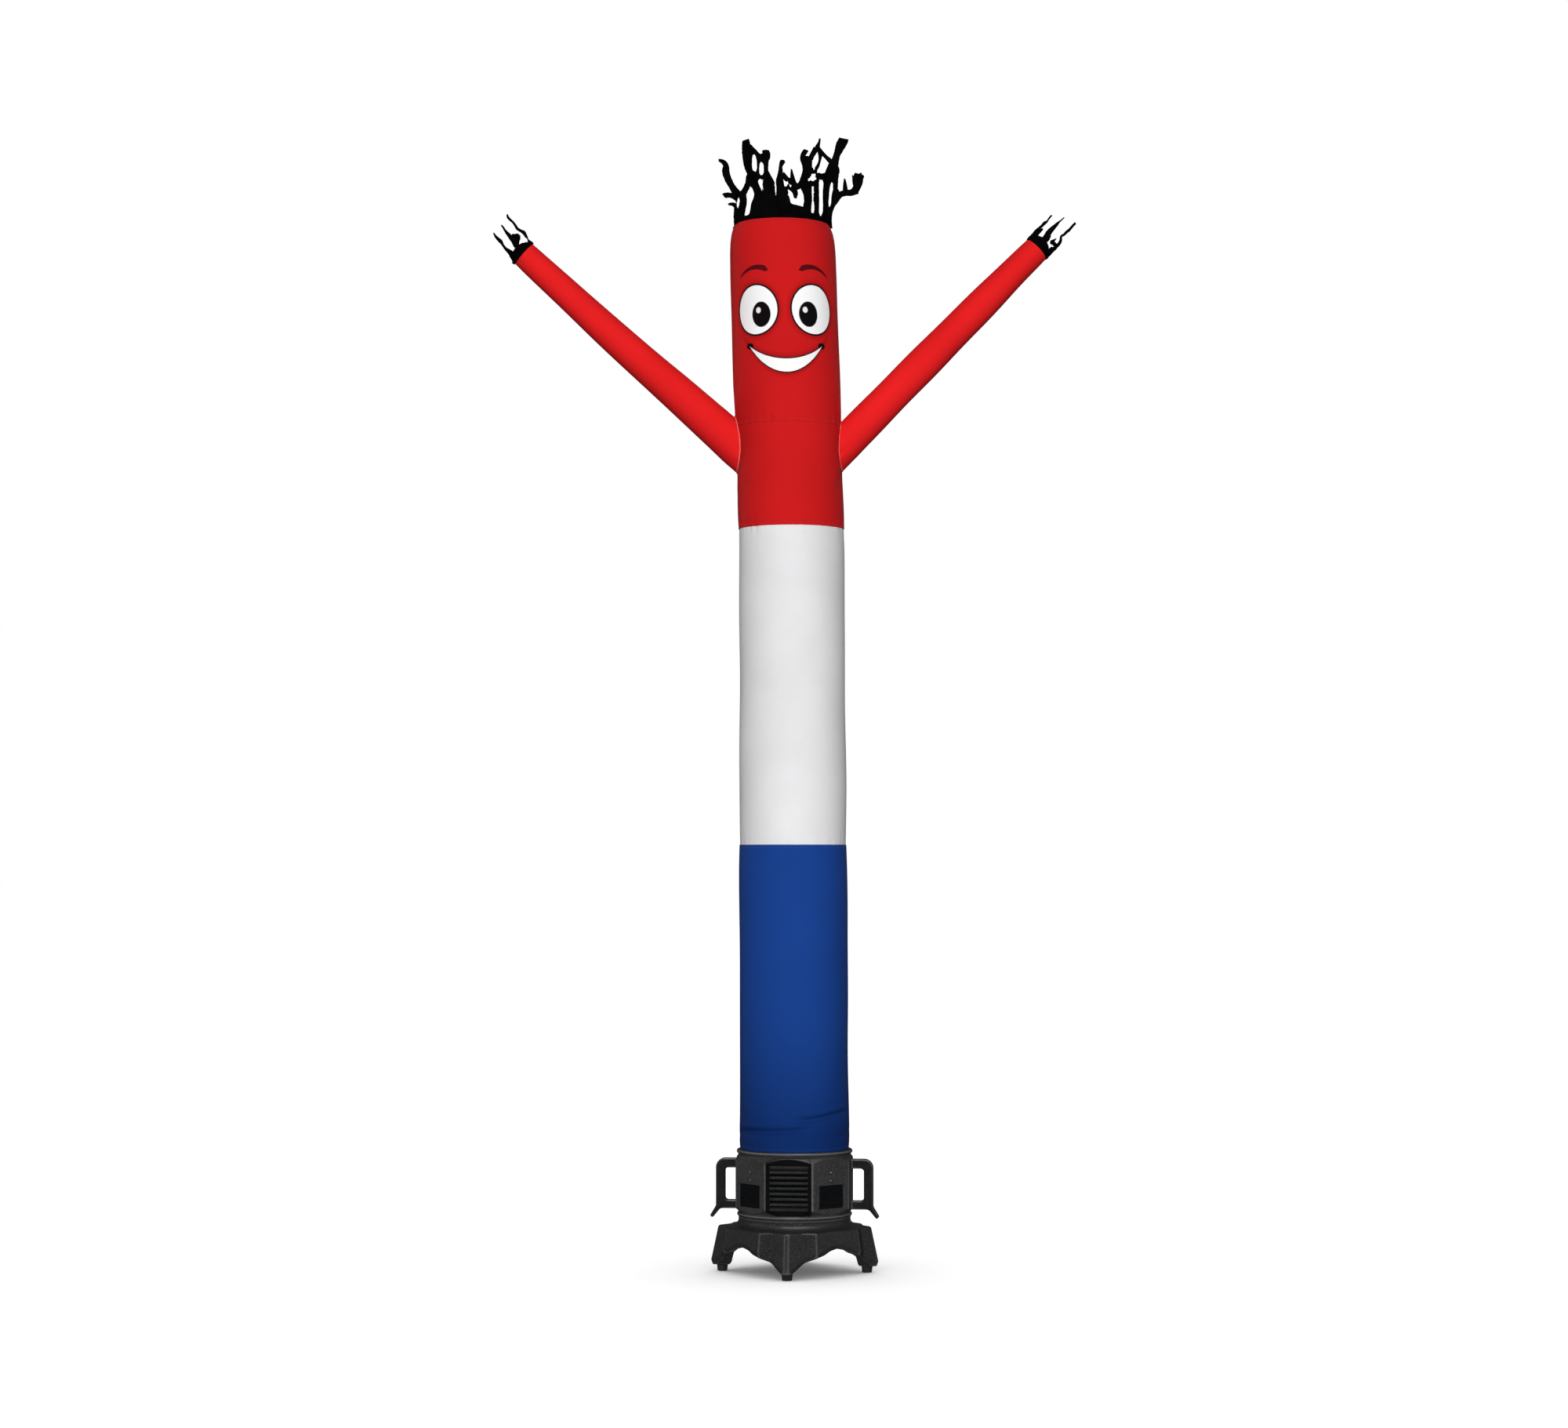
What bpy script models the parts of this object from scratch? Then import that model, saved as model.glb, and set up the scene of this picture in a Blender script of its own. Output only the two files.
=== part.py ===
"""An inflatable air dancer, standing inflated on its blower.

The dancer is a cloth tube sewn from a blue, a white and a red panel and a red head, with two tapered
sleeves let into its sides. Black cloth, cut into ragged strips, stands on its three open ends as hair
and hands. The tube's hem fits over the outlet neck of an eight-sided plastic blower, which has two
handles and a four-legged base on rubber feet.

Metres, +Z up, front towards -Y. The origin is on the floor, midway between the tips of the two hands.
"""

import math

import bmesh
import bpy
from mathutils import Matrix, Vector

COLLECTION = "air_dancer"
GAP = 0.0003  # between one piece and the next

# --- Cloth ---------------------------------------------------------------------------------------
CLOTH = 0.0015
TUBE_SIDES = 32
BLOWER_X = 0.0304
HEM_Z = 0.3533
BLUE_WHITE_Z = 1.224
WHITE_RED_Z = 2.128
RED_HEAD_Z = 2.430
HEAD_TOP_Z = 2.998

# The tube's axis drifts towards -X as it rises, and more so from the sleeves up.
LEAN_LOW = 0.0047
LEAN_HIGH = 0.029
LEAN_START = 2.05
LEAN_EASE = 0.10

# Outer radius of each panel up its height: (height, radius). It draws in at the seams.
BLUE_PROFILE = (
    (HEM_Z, 0.1562),
    (0.372, 0.1572),
    (0.400, 0.1574),
    (0.440, 0.1570),
    (0.550, 0.1562),
    (0.850, 0.1550),
    (1.190, 0.1541),
    (BLUE_WHITE_Z, 0.1532),
)
WHITE_PROFILE = (
    (BLUE_WHITE_Z, 0.1513),
    (1.260, 0.1520),
    (1.700, 0.1510),
    (2.100, 0.1498),
    (WHITE_RED_Z, 0.1492),
)
RED_PROFILE = (
    (WHITE_RED_Z, 0.1511),
    (2.165, 0.1518),
    (2.280, 0.1510),
    (2.395, 0.1516),
    (RED_HEAD_Z, 0.1511),
)
HEAD_PROFILE = (
    (RED_HEAD_Z, 0.1511),
    (2.465, 0.1524),
    (2.540, 0.1538),
    (2.750, 0.1531),
    (2.880, 0.1524),
    (2.930, 0.1512),
    (2.958, 0.1488),
    (2.978, 0.1448),
    (2.990, 0.1406),
    (HEAD_TOP_Z, 0.1362),
)

# Soft troughs in the tube, each along a line on its surface. Turn is the angle round the tube from
# the front, positive towards +X: (turn and height of one end, the same of the other, depth, half-width).
CREASES = (
    (-88, 0.398, 26, 0.428, 0.0045, 0.012),
    (-8, 0.440, 66, 0.466, 0.0035, 0.012),
    (95, 0.402, 178, 0.432, 0.0035, 0.014),
    (-175, 0.440, -100, 0.412, 0.0030, 0.014),
    (-62, 2.404, 48, 2.410, 0.0016, 0.016),
    (58, 2.225, 88, 2.300, 0.0030, 0.018),
    (-84, 2.205, -52, 2.268, 0.0024, 0.016),
    (120, 2.300, 205, 2.335, 0.0026, 0.018),
)
CREASE_FADE = 0.25  # share of its length over which a crease runs out at each end

# --- Sleeves: where the axis leaves the tube's wall and where it ends, and the radii ---------------
SLEEVE_RESOLUTION = 4
SLEEVE_STATIONS = 9
SLEEVE_REACH_IN = 0.075  # length inside the tube that the trim then takes off
ARMHOLE_CLEAR = 0.0008
SLEEVES = {
    "left": {
        "root": (-0.1350, 0.0, 2.3715),
        "end": (-0.7410, -0.060, 2.9070),
        "root_radius": 0.0575,
        "end_radius": 0.0375,
        "flare": 0.0035,
        "sag": 0.0055,
        "bulge": 0.0,
    },
    "right": {
        "root": (0.1733, 0.0, 2.3745),
        "end": (0.7280, 0.065, 2.9430),
        "root_radius": 0.0495,
        "end_radius": 0.0390,
        "flare": 0.0025,
        "sag": -0.0010,
        "bulge": 0.0035,
    },
}

# --- Fringes: a band on the open end, its free edge cut into locks ----------------------------------
FRINGE_CLOTH = 0.0015
LOCK_ROWS = 7
# turn: place round the end, from the front, in degrees. span: degrees of the edge that it takes.
# notch: height over the open end where the cut on its lower-turn side stops. rise: height of its tip.
# out, sway: how far its tip goes outwards and sideways. hook: sideways curl towards the tip. mid, tip:
# its width halfway and at the tip. twist: in degrees, at the tip. slit: where a cut in it starts and
# ends, as shares of its length, and how wide it opens; a cut that ends at 1 forks the lock.
HAIR_LOCKS = (
    # turn span notch  rise    out    sway    hook    mid    tip  twist  slit
    (-82, 15, 0.018, 0.188, 0.040, 0.010, -0.014, 0.030, 0.014, -60, (0.20, 0.50, 0.012)),
    (-65, 13, 0.030, 0.118, 0.016, -0.010, 0.006, 0.026, 0.012, -50, None),
    (-47, 17, 0.022, 0.240, 0.010, 0.006, -0.012, 0.031, 0.027, -40, None),
    (-24, 17, 0.086, 0.206, 0.004, -0.006, -0.008, 0.034, 0.022, -22, (0.30, 0.72, 0.014)),
    (-5, 14, 0.074, 0.182, 0.008, 0.004, 0.006, 0.026, 0.014, 12, None),
    (11, 13, 0.094, 0.152, 0.004, 0.003, -0.004, 0.022, 0.006, 16, None),
    (27, 14, 0.084, 0.216, 0.006, 0.006, 0.018, 0.030, 0.018, 22, (0.40, 0.66, 0.012)),
    (43, 15, 0.066, 0.250, 0.008, 0.018, -0.006, 0.034, 0.006, 36, (0.45, 0.75, 0.013)),
    (62, 17, 0.018, 0.240, 0.030, 0.044, 0.010, 0.031, 0.029, 48, (0.12, 0.42, 0.012)),
    (79, 11, 0.022, 0.110, 0.022, -0.010, 0.004, 0.022, 0.010, 56, None),
    (96, 16, 0.018, 0.146, 0.082, -0.014, 0.020, 0.034, 0.032, -64, (0.60, 1.0, 0.024)),
    (118, 16, 0.026, 0.196, 0.020, 0.006, -0.012, 0.032, 0.014, -44, None),
    (139, 16, 0.030, 0.222, 0.014, -0.010, 0.008, 0.034, 0.010, -30, (0.34, 0.62, 0.013)),
    (161, 15, 0.024, 0.140, 0.010, -0.006, -0.006, 0.026, 0.012, -18, None),
    (182, 16, 0.032, 0.170, 0.006, 0.004, 0.006, 0.030, 0.014, 14, (0.60, 1.0, 0.018)),
    (204, 17, 0.026, 0.196, 0.008, -0.006, 0.008, 0.034, 0.014, 22, None),
    (227, 17, 0.034, 0.214, 0.014, 0.006, -0.008, 0.035, 0.026, 36, (0.62, 1.0, 0.020)),
    (252, 16, 0.020, 0.150, 0.030, 0.000, 0.006, 0.028, 0.012, 50, None),
)
LEFT_HAND_LOCKS = (
    (-88, 36, 0.022, 0.112, 0.000, -0.002, -0.004, 0.018, 0.005, -60, None),
    (-12, 40, 0.018, 0.100, 0.004, 0.016, 0.005, 0.016, 0.004, -14, None),
    (40, 36, 0.020, 0.052, 0.004, 0.000, 0.002, 0.015, 0.005, 10, None),
    (92, 36, 0.020, 0.088, 0.004, 0.000, -0.008, 0.018, 0.006, -60, None),
    (150, 46, 0.018, 0.074, -0.008, -0.004, 0.003, 0.026, 0.016, 12, (0.60, 1.0, 0.011)),
    (215, 42, 0.024, 0.066, 0.002, 0.004, -0.004, 0.020, 0.009, -10, None),
)
RIGHT_HAND_LOCKS = (
    (-90, 38, 0.022, 0.112, 0.004, 0.000, 0.006, 0.020, 0.005, -60, None),
    (-8, 40, 0.018, 0.102, 0.004, 0.004, 0.008, 0.016, 0.004, 14, None),
    (42, 36, 0.020, 0.054, 0.006, 0.002, 0.000, 0.016, 0.006, -8, None),
    (90, 36, 0.020, 0.092, 0.002, -0.004, 0.010, 0.017, 0.006, 60, None),
    (146, 46, 0.018, 0.074, 0.002, -0.006, -0.004, 0.024, 0.014, -12, (0.62, 1.0, 0.010)),
    (212, 42, 0.024, 0.068, -0.004, 0.004, 0.003, 0.020, 0.008, 10, None),
)

# --- Blower: it is turned a little under the dancer -------------------------------------------------
BLOWER_TURN = math.radians(-6)
HOUSING_SIDES = 8
APOTHEM = 0.163
DUCT_RADIUS = 0.147
NECK_RADIUS = 0.1513
NECK_TOP_Z = 0.381
RIM_TOP_Z = 0.353
RIM_RADIUS = 0.1665
WAIST_RADIUS = 0.1608
BODY_BOTTOM_Z = 0.1603

# Each face ends above and below in an arc, because its corners slope back to the rim and the lip:
# at a radius r the face starts r - SLOPE_RADIUS under SLOPE_TOP_Z and stops as far over SLOPE_BOTTOM_Z.
SLOPE_RADIUS = 0.1600
SLOPE_TOP_Z = 0.3385
SLOPE_BOTTOM_Z = 0.1740
# Columns of one face, in degrees from its middle, and the cut that rounds its corner.
FACE_COLUMNS = (-22.5, -21.2, -14.0, -7.0, 0.0, 7.0, 14.0, 21.2)
CORNER_CUT = 0.0009

# Base: a collar, a flat top and a skirt that folds out into four legs.
BASE_COLUMNS = 88
BASE_TOP_Z = 0.1310
SKIRT_SPREAD = 0.0205  # how much further out the legs stand at the floor than at the top
SKIRT_INNER = 0.183
BASE_BORE = 0.150
LEG_BOTTOM_Z = 0.0183
PLATE_UNDER_Z = 0.1225
# Half of one quarter of the skirt's top outline, from a leg's end to the wall between two legs:
# (sideways from the leg's centre line, outwards along it).
LEG_OUTLINE = ((0.0, 0.2205), (0.0062, 0.2205), (0.0420, 0.1925), (0.0800, 0.1890), (0.1350, 0.1350))
# Lower edge of the skirt: (degrees from the leg's centre line, height).
SKIRT_EDGE = (
    (0.0, LEG_BOTTOM_Z),
    (3.6, LEG_BOTTOM_Z),
    (8.0, 0.0310),
    (13.8, 0.0480),
    (25.0, 0.0615),
    (31.0, 0.0665),
    (37.0, 0.0765),
    (45.0, 0.0820),
)
LEG_CHAMFER = 0.013

FOOT_REACH = 0.2085
FOOT_RADIUS = 0.0135
FOOT_TOP_RADIUS = 0.0160
FOOT_SIDES = 20
LEG_NAMES = ("front", "right", "back", "left")

# Handle outline, outwards from the blower's axis and up: (x, z, corner radius).
HANDLE_FACE = APOTHEM + GAP
HANDLE_OUTLINE = (
    (HANDLE_FACE, 0.3245, 0.0),
    (0.2265, 0.3245, 0.026),
    (0.2265, 0.1880, 0.014),
    (0.2440, 0.1590, 0.004),
    (0.2365, 0.1525, 0.004),
    (0.2140, 0.1800, 0.016),
    (HANDLE_FACE, 0.1800, 0.0),
    (HANDLE_FACE, 0.2050, 0.0),
    (0.2000, 0.2050, 0.009),
    (0.2000, 0.2970, 0.009),
    (HANDLE_FACE, 0.2970, 0.0),
)
HANDLE_WIDTH = 0.028
HANDLE_EDGE = 0.004
ARC_STEPS = 5

PLATE_SIZE = (0.086, 0.0016, 0.066)
PLATE_Z = 0.227
PLATE_EDGE = 0.0006
SCREW_HEIGHTS = (0.2925, 0.2700)
SCREW_RADIUS = 0.0042
SCREW_HEAD = 0.0024

# Vent panel on the front face: a plate with straight level ribs.
VENT_WIDTH = 0.108
VENT_Z = (0.190, 0.316)
VENT_PLATE = 0.0015
VENT_RIB = 0.0035
VENT_RIBS = 7
VENT_MARGIN = 0.010
VENT_CORNER = 0.0012

GLAND_Z = 0.215
GLAND_PROFILE = ((0.0, 0.0240), (0.0085, 0.0240), (0.0105, 0.0220), (0.0105, 0.0050), (0.0165, 0.0050), (0.0165, 0.0), (0.0, 0.0))

MATERIALS = {
    "cloth_red": ((0.62, 0.012, 0.012), 0.55),
    "cloth_white": ((0.72, 0.72, 0.72), 0.55),
    "cloth_blue": ((0.012, 0.050, 0.250), 0.55),
    "cloth_black": ((0.004, 0.004, 0.004), 0.60),
    "plastic_black": ((0.030, 0.030, 0.032), 0.45),
    "plate_black": ((0.006, 0.007, 0.008), 0.25),
    "rubber_black": ((0.020, 0.020, 0.020), 0.80),
    "steel": ((0.45, 0.45, 0.46), 0.35),
}


# --- Scene, materials and objects --------------------------------------------------------------------
def clear_scene():
    """Removes what a new Blender file holds."""
    for obj in list(bpy.data.objects):
        bpy.data.objects.remove(obj, do_unlink=True)


def collections():
    """The collection of the object's pieces and a hidden one for cutters."""
    parts = bpy.data.collections.new(COLLECTION)
    cutters = bpy.data.collections.new("cutters")
    bpy.context.scene.collection.children.link(parts)
    bpy.context.scene.collection.children.link(cutters)
    cutters.hide_render = True
    return parts, cutters


def material(name):
    """A Principled material from MATERIALS, made once."""
    found = bpy.data.materials.get(name)
    if found:
        return found
    colour, roughness = MATERIALS[name]
    made = bpy.data.materials.new(name)
    made.use_nodes = True
    shader = made.node_tree.nodes["Principled BSDF"]
    shader.inputs["Base Color"].default_value = (*colour, 1.0)
    shader.inputs["Roughness"].default_value = roughness
    shader.inputs["Metallic"].default_value = 1.0 if name == "steel" else 0.0
    return made


def add_piece(name, mesh, material_name, collection=None):
    """Links a mesh into the scene as a named piece with its material, shaded smooth but for its sharp edges."""
    obj = bpy.data.objects.new(name, mesh)
    (collection or PARTS).objects.link(obj)
    mesh.materials.clear()
    mesh.materials.append(material(material_name))
    mesh.shade_smooth()
    mesh.set_sharp_from_angle(angle=math.radians(35))
    return obj


def helper(name, mesh):
    """A cutter or other tool, which isn't part of the object."""
    obj = bpy.data.objects.new(name, mesh)
    CUTTERS.objects.link(obj)
    obj.hide_render = True
    obj.display_type = "WIRE"
    return obj


def mesh_from(bm, name):
    """Turns a bmesh into a mesh and frees it."""
    mesh = bpy.data.meshes.new(name)
    bm.to_mesh(mesh)
    bm.free()
    return mesh


def evaluated_mesh(obj):
    """The object's mesh with its modifiers applied, in its own coordinates, with loose caps welded on."""
    bpy.context.view_layer.update()
    graph = bpy.context.evaluated_depsgraph_get()
    mesh = bpy.data.meshes.new_from_object(obj.evaluated_get(graph), depsgraph=graph)
    bm = bmesh.new()
    bm.from_mesh(mesh)
    bmesh.ops.remove_doubles(bm, verts=bm.verts, dist=1e-6)
    bm.to_mesh(mesh)
    bm.free()
    return mesh


def boolean(obj, other, operation):
    """Adds one Boolean with the exact solver."""
    modifier = obj.modifiers.new(operation.lower(), "BOOLEAN")
    modifier.operation = operation
    modifier.solver = "EXACT"
    modifier.object = other


def solidify(obj, thickness, offset):
    """Gives an open sheet its thickness: offset -1 goes inwards, 0 to both sides."""
    modifier = obj.modifiers.new("thickness", "SOLIDIFY")
    modifier.thickness = thickness
    modifier.offset = offset
    modifier.use_rim = True
    modifier.use_even_offset = True
    modifier.thickness_clamp = 1.0


def interpolate(table, at):
    """The second column of a table at a value of its first, eased between the rows."""
    if at <= table[0][0]:
        return table[0][1]
    for (a, low), (b, high) in zip(table, table[1:]):
        if at <= b:
            share = (at - a) / (b - a)
            return low + (high - low) * share
    return table[-1][1]


# --- The tube ------------------------------------------------------------------------------------
def tube_centre(z):
    """The tube's axis at a height."""
    above = max(0.0, z - LEAN_START)
    x = BLOWER_X - LEAN_LOW * (z - HEM_Z) - LEAN_HIGH * above * above / (above + LEAN_EASE)
    return Vector((x, 0.0, z))


def crease_depth(turn, z, radius):
    """How far the creases press the cloth in at one place on the tube."""
    depth = 0.0
    for turn_a, z_a, turn_b, z_b, deepest, half_width in CREASES:
        along = Vector((math.radians(turn_b - turn_a) * radius, z_b - z_a))
        away = (turn - turn_a + 180) % 360 - 180
        if turn_b - turn_a > 0 > away + 40:
            away += 360
        here = Vector((math.radians(away) * radius, z - z_a))
        share = here.dot(along) / along.length_squared
        if not 0.0 < share < 1.0:
            continue
        across = (here - along * share).length / half_width
        fade = min(1.0, share / CREASE_FADE, (1.0 - share) / CREASE_FADE)
        depth += deepest * math.sin(fade * math.pi / 2) * math.exp(-across * across)
    return depth


def row_heights(profile, coarse, fine, fine_top):
    """Heights for the rings of a panel: fine steps up to fine_top, coarse ones above, and each row of the profile's end."""
    low, high = profile[0][0], profile[-1][0]
    heights = [low]
    while heights[-1] < high - 1e-6:
        step = fine if heights[-1] < fine_top else coarse
        heights.append(min(high, heights[-1] + step))
    if heights[-1] - heights[-2] < 0.4 * fine:
        heights.pop(-2)
    return heights


def turned_sheet(name, profile, heights, outset=0.0):
    """A ring of cloth: its profile turned round the axis, then leant and creased as the tube is."""
    bm = bmesh.new()
    points = [bm.verts.new((interpolate(profile, z), 0.0, z)) for z in reversed(heights)]
    for upper, lower in zip(points, points[1:]):
        bm.edges.new((upper, lower))
    strip = helper(name + "_profile", mesh_from(bm, name + "_profile"))
    screw = strip.modifiers.new("turn", "SCREW")
    screw.steps = screw.render_steps = TUBE_SIDES
    screw.use_merge_vertices = True
    screw.merge_threshold = 0.0001
    mesh = evaluated_mesh(strip)
    bpy.data.objects.remove(strip)
    for vertex in mesh.vertices:
        x, y, z = vertex.co
        radius = math.hypot(x, y)
        turn = math.degrees(math.atan2(x, -y))
        scale = (radius + outset - crease_depth(turn, z, radius)) / radius
        vertex.co = tube_centre(z) + Vector((x * scale, y * scale, 0.0))
    return mesh


def panel(name, profile, material_name, heights):
    """One sewn panel of the tube, a gap short of its neighbours at each end."""
    low, high = heights[0], heights[-1]
    heights = [low + GAP / 2] + heights[1:-1] + [high - GAP / 2]
    piece = add_piece(name, turned_sheet(name, profile, heights), material_name)
    solidify(piece, CLOTH, -1.0)
    return piece


def tube_plug(name, profile, heights, outset):
    """A closed solid as wide as the tube plus outset, to trim the sleeves with."""
    mesh = turned_sheet(name, profile, heights, outset)
    bm = bmesh.new()
    bm.from_mesh(mesh)
    bmesh.ops.holes_fill(bm, edges=[edge for edge in bm.edges if edge.is_boundary], sides=0)
    bmesh.ops.recalc_face_normals(bm, faces=bm.faces)
    bm.to_mesh(mesh)
    bm.free()
    return helper(name, mesh)


# --- Sleeves ---------------------------------------------------------------------------------------
def sleeve_axis(sleeve):
    """The sleeve's start inside the tube, its direction and its length from there to the open end."""
    root, end = Vector(sleeve["root"]), Vector(sleeve["end"])
    direction = (end - root).normalized()
    start = root - direction * SLEEVE_REACH_IN
    return start, direction, (end - start).length


def sleeve_section(sleeve, share):
    """Centre and radius of the sleeve at a share of its length from the start inside the tube."""
    start, direction, length = sleeve_axis(sleeve)
    outside = max(0.0, share * length - SLEEVE_REACH_IN) / (length - SLEEVE_REACH_IN)
    centre = start + direction * (share * length)
    centre.z -= sleeve["sag"] * math.sin(math.pi * outside)
    radius = sleeve["root_radius"] + (sleeve["end_radius"] - sleeve["root_radius"]) * outside
    radius += sleeve["flare"] * math.exp(-outside / 0.08)
    radius += sleeve["bulge"] * math.sin(math.pi * outside)
    return centre, radius


def sleeve_tube(name, sleeve, inset, closed):
    """The sleeve's skin as a mesh, or a closed solid that is smaller by inset."""
    curve = bpy.data.curves.new(name, "CURVE")
    curve.dimensions = "3D"
    curve.bevel_depth = 1.0
    curve.bevel_resolution = SLEEVE_RESOLUTION
    curve.use_fill_caps = closed
    curve.twist_mode = "Z_UP"
    spline = curve.splines.new("POLY")
    spline.points.add(SLEEVE_STATIONS - 1)
    for index, point in enumerate(spline.points):
        centre, radius = sleeve_section(sleeve, index / (SLEEVE_STATIONS - 1))
        point.co = (*centre, 1.0)
        point.radius = radius - inset
    holder = helper(name + "_curve", curve)
    mesh = evaluated_mesh(holder)
    bpy.data.objects.remove(holder)
    return mesh


def sleeve_end_frame(sleeve):
    """Where a hand's band stands: +Z along the sleeve, and turn 0 towards the front."""
    last, radius = sleeve_section(sleeve, 1.0)
    before, _ = sleeve_section(sleeve, 1.0 - 1.0 / (SLEEVE_STATIONS - 1))
    along = (last - before).normalized()
    across = Vector((0.0, -1.0, 0.0)).cross(along).normalized()
    depth = along.cross(across)
    frame = Matrix((across, depth, along)).transposed().to_4x4()
    frame.translation = last
    return frame, radius


def sleeve(side, plug, tube_pieces):
    """One sleeve, trimmed to the tube's wall, and the armhole that it is sewn into."""
    shape = SLEEVES[side]
    piece = add_piece("arm_" + side, sleeve_tube("arm_" + side, shape, 0.0, False), "cloth_red")
    solidify(piece, CLOTH, -1.0)
    boolean(piece, plug, "DIFFERENCE")
    cutter = helper("armhole_" + side, sleeve_tube("armhole_" + side, shape, CLOTH + ARMHOLE_CLEAR, True))
    for cloth in tube_pieces:
        boolean(cloth, cutter, "DIFFERENCE")


# --- Fringes ---------------------------------------------------------------------------------------
def turned(turn, radius, z):
    """A point on the open end's own ring: turn 0 is its front, at -Y."""
    angle = math.radians(turn)
    return Vector((radius * math.sin(angle), -radius * math.cos(angle), z))


def lock_rows(bm, lock, roots, radius):
    """Cuts one lock: two columns of cloth from its three root points up to its tip, with its slit."""
    turn, span, _, rise, out, sway, hook, mid, tip, twist, slit = lock
    outward = turned(turn, 1.0, 0.0)
    sideways = Vector((0.0, 0.0, 1.0)).cross(outward)
    root_width = 2 * radius * math.sin(math.radians(span / 2))
    widths = ((0.0, root_width), (0.5, mid), (1.0, tip))
    base = roots[1].co.copy()
    left, middle_left, middle_right, right = roots[0], roots[1], roots[1], roots[2]
    for row in range(1, LOCK_ROWS + 1):
        share = row / LOCK_ROWS
        centre = base + Vector((0.0, 0.0, (rise - base.z) * share))
        centre += outward * out * share**1.4
        centre += sideways * (sway * share + hook * math.sin(math.pi * share**2 * 0.9))
        angle = math.radians(twist) * math.sin(share * math.pi / 2)
        across = sideways * math.cos(angle) + outward * math.sin(angle)
        half = interpolate(widths, share) / 2
        open_by = 0.0
        if slit and slit[0] < share <= slit[1] and (slit[1] == 1.0 or share < slit[1]):
            inside = (share - slit[0]) / (slit[1] - slit[0])
            open_by = slit[2] * (inside if slit[1] == 1.0 else math.sin(math.pi * inside))
        spread = half + open_by / 2
        new_left = bm.verts.new(centre - across * spread)
        new_right = bm.verts.new(centre + across * spread)
        if open_by:
            new_middle_left = bm.verts.new(centre - across * open_by / 2)
            new_middle_right = bm.verts.new(centre + across * open_by / 2)
        else:
            new_middle_left = new_middle_right = bm.verts.new(centre)
        bm.faces.new((left, middle_left, new_middle_left, new_left))
        bm.faces.new((middle_right, right, new_right, new_middle_right))
        left, middle_left, middle_right, right = new_left, new_middle_left, new_middle_right, new_right


def fringe(name, frame, radius, locks):
    """A ring of cloth that stands on an open end, with its upper edge cut into locks, as one sheet."""
    bm = bmesh.new()
    feet, heads = [], []
    for index, lock in enumerate(locks):
        turn, span, notch = lock[:3]
        next_notch = locks[(index + 1) % len(locks)][2]
        heights = (notch, max(notch, next_notch) + 0.006, next_notch)
        for at, height in zip((turn - span / 2, turn, turn + span / 2), heights):
            feet.append(bm.verts.new(turned(at, radius, GAP)))
            heads.append(bm.verts.new(turned(at, radius, height)))
    for index in range(len(feet)):
        after = (index + 1) % len(feet)
        bm.faces.new((feet[index], feet[after], heads[after], heads[index]))
    for index, lock in enumerate(locks):
        lock_rows(bm, lock, heads[3 * index : 3 * index + 3], radius)
    bmesh.ops.recalc_face_normals(bm, faces=bm.faces)
    bmesh.ops.transform(bm, matrix=frame, verts=bm.verts)
    piece = add_piece(name, mesh_from(bm, name), "cloth_black")
    solidify(piece, FRINGE_CLOTH, 0.0)
    return piece


def hair_frame():
    """The head's open end: upright, on the tube's axis."""
    return Matrix.Translation(tube_centre(HEAD_TOP_Z))


# --- Blower ------------------------------------------------------------------------------------------
def blower_empty():
    """The empty that turns every piece of the blower about its own axis."""
    empty = bpy.data.objects.new("blower_axis", None)
    PARTS.objects.link(empty)
    empty.location = (BLOWER_X, 0.0, 0.0)
    empty.rotation_euler = (0.0, 0.0, BLOWER_TURN)
    return empty


def lathe(name, profile, steps):
    """A closed turned solid. The profile runs from the axis at the top, down its outside, to the axis."""
    bm = bmesh.new()
    points = [bm.verts.new((radius, 0.0, z)) for radius, z in profile]
    for upper, lower in zip(points, points[1:]):
        bm.edges.new((upper, lower))
    obj = helper(name, mesh_from(bm, name))
    screw = obj.modifiers.new("turn", "SCREW")
    screw.steps = screw.render_steps = steps
    screw.use_merge_vertices = True
    screw.merge_threshold = 0.0001
    mesh = evaluated_mesh(obj)
    bpy.data.objects.remove(obj)
    return mesh


def loft(name, turns, section, material_name, axis):
    """A ring lofted round the blower's axis: in each direction its wall is the closed loop that section gives."""
    bm = bmesh.new()
    columns = []
    for turn in turns:
        angle = math.radians(turn)
        loop = section(turn)
        columns.append([bm.verts.new((r * math.sin(angle), -r * math.cos(angle), z)) for r, z in loop])
    rows = len(columns[0])
    for index, column in enumerate(columns):
        beside = columns[(index + 1) % len(columns)]
        for row in range(rows):
            below = (row + 1) % rows
            bm.faces.new((column[row], column[below], beside[below], beside[row]))
    bmesh.ops.recalc_face_normals(bm, faces=bm.faces)
    piece = add_piece(name, mesh_from(bm, name), material_name)
    piece.parent = axis


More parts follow.
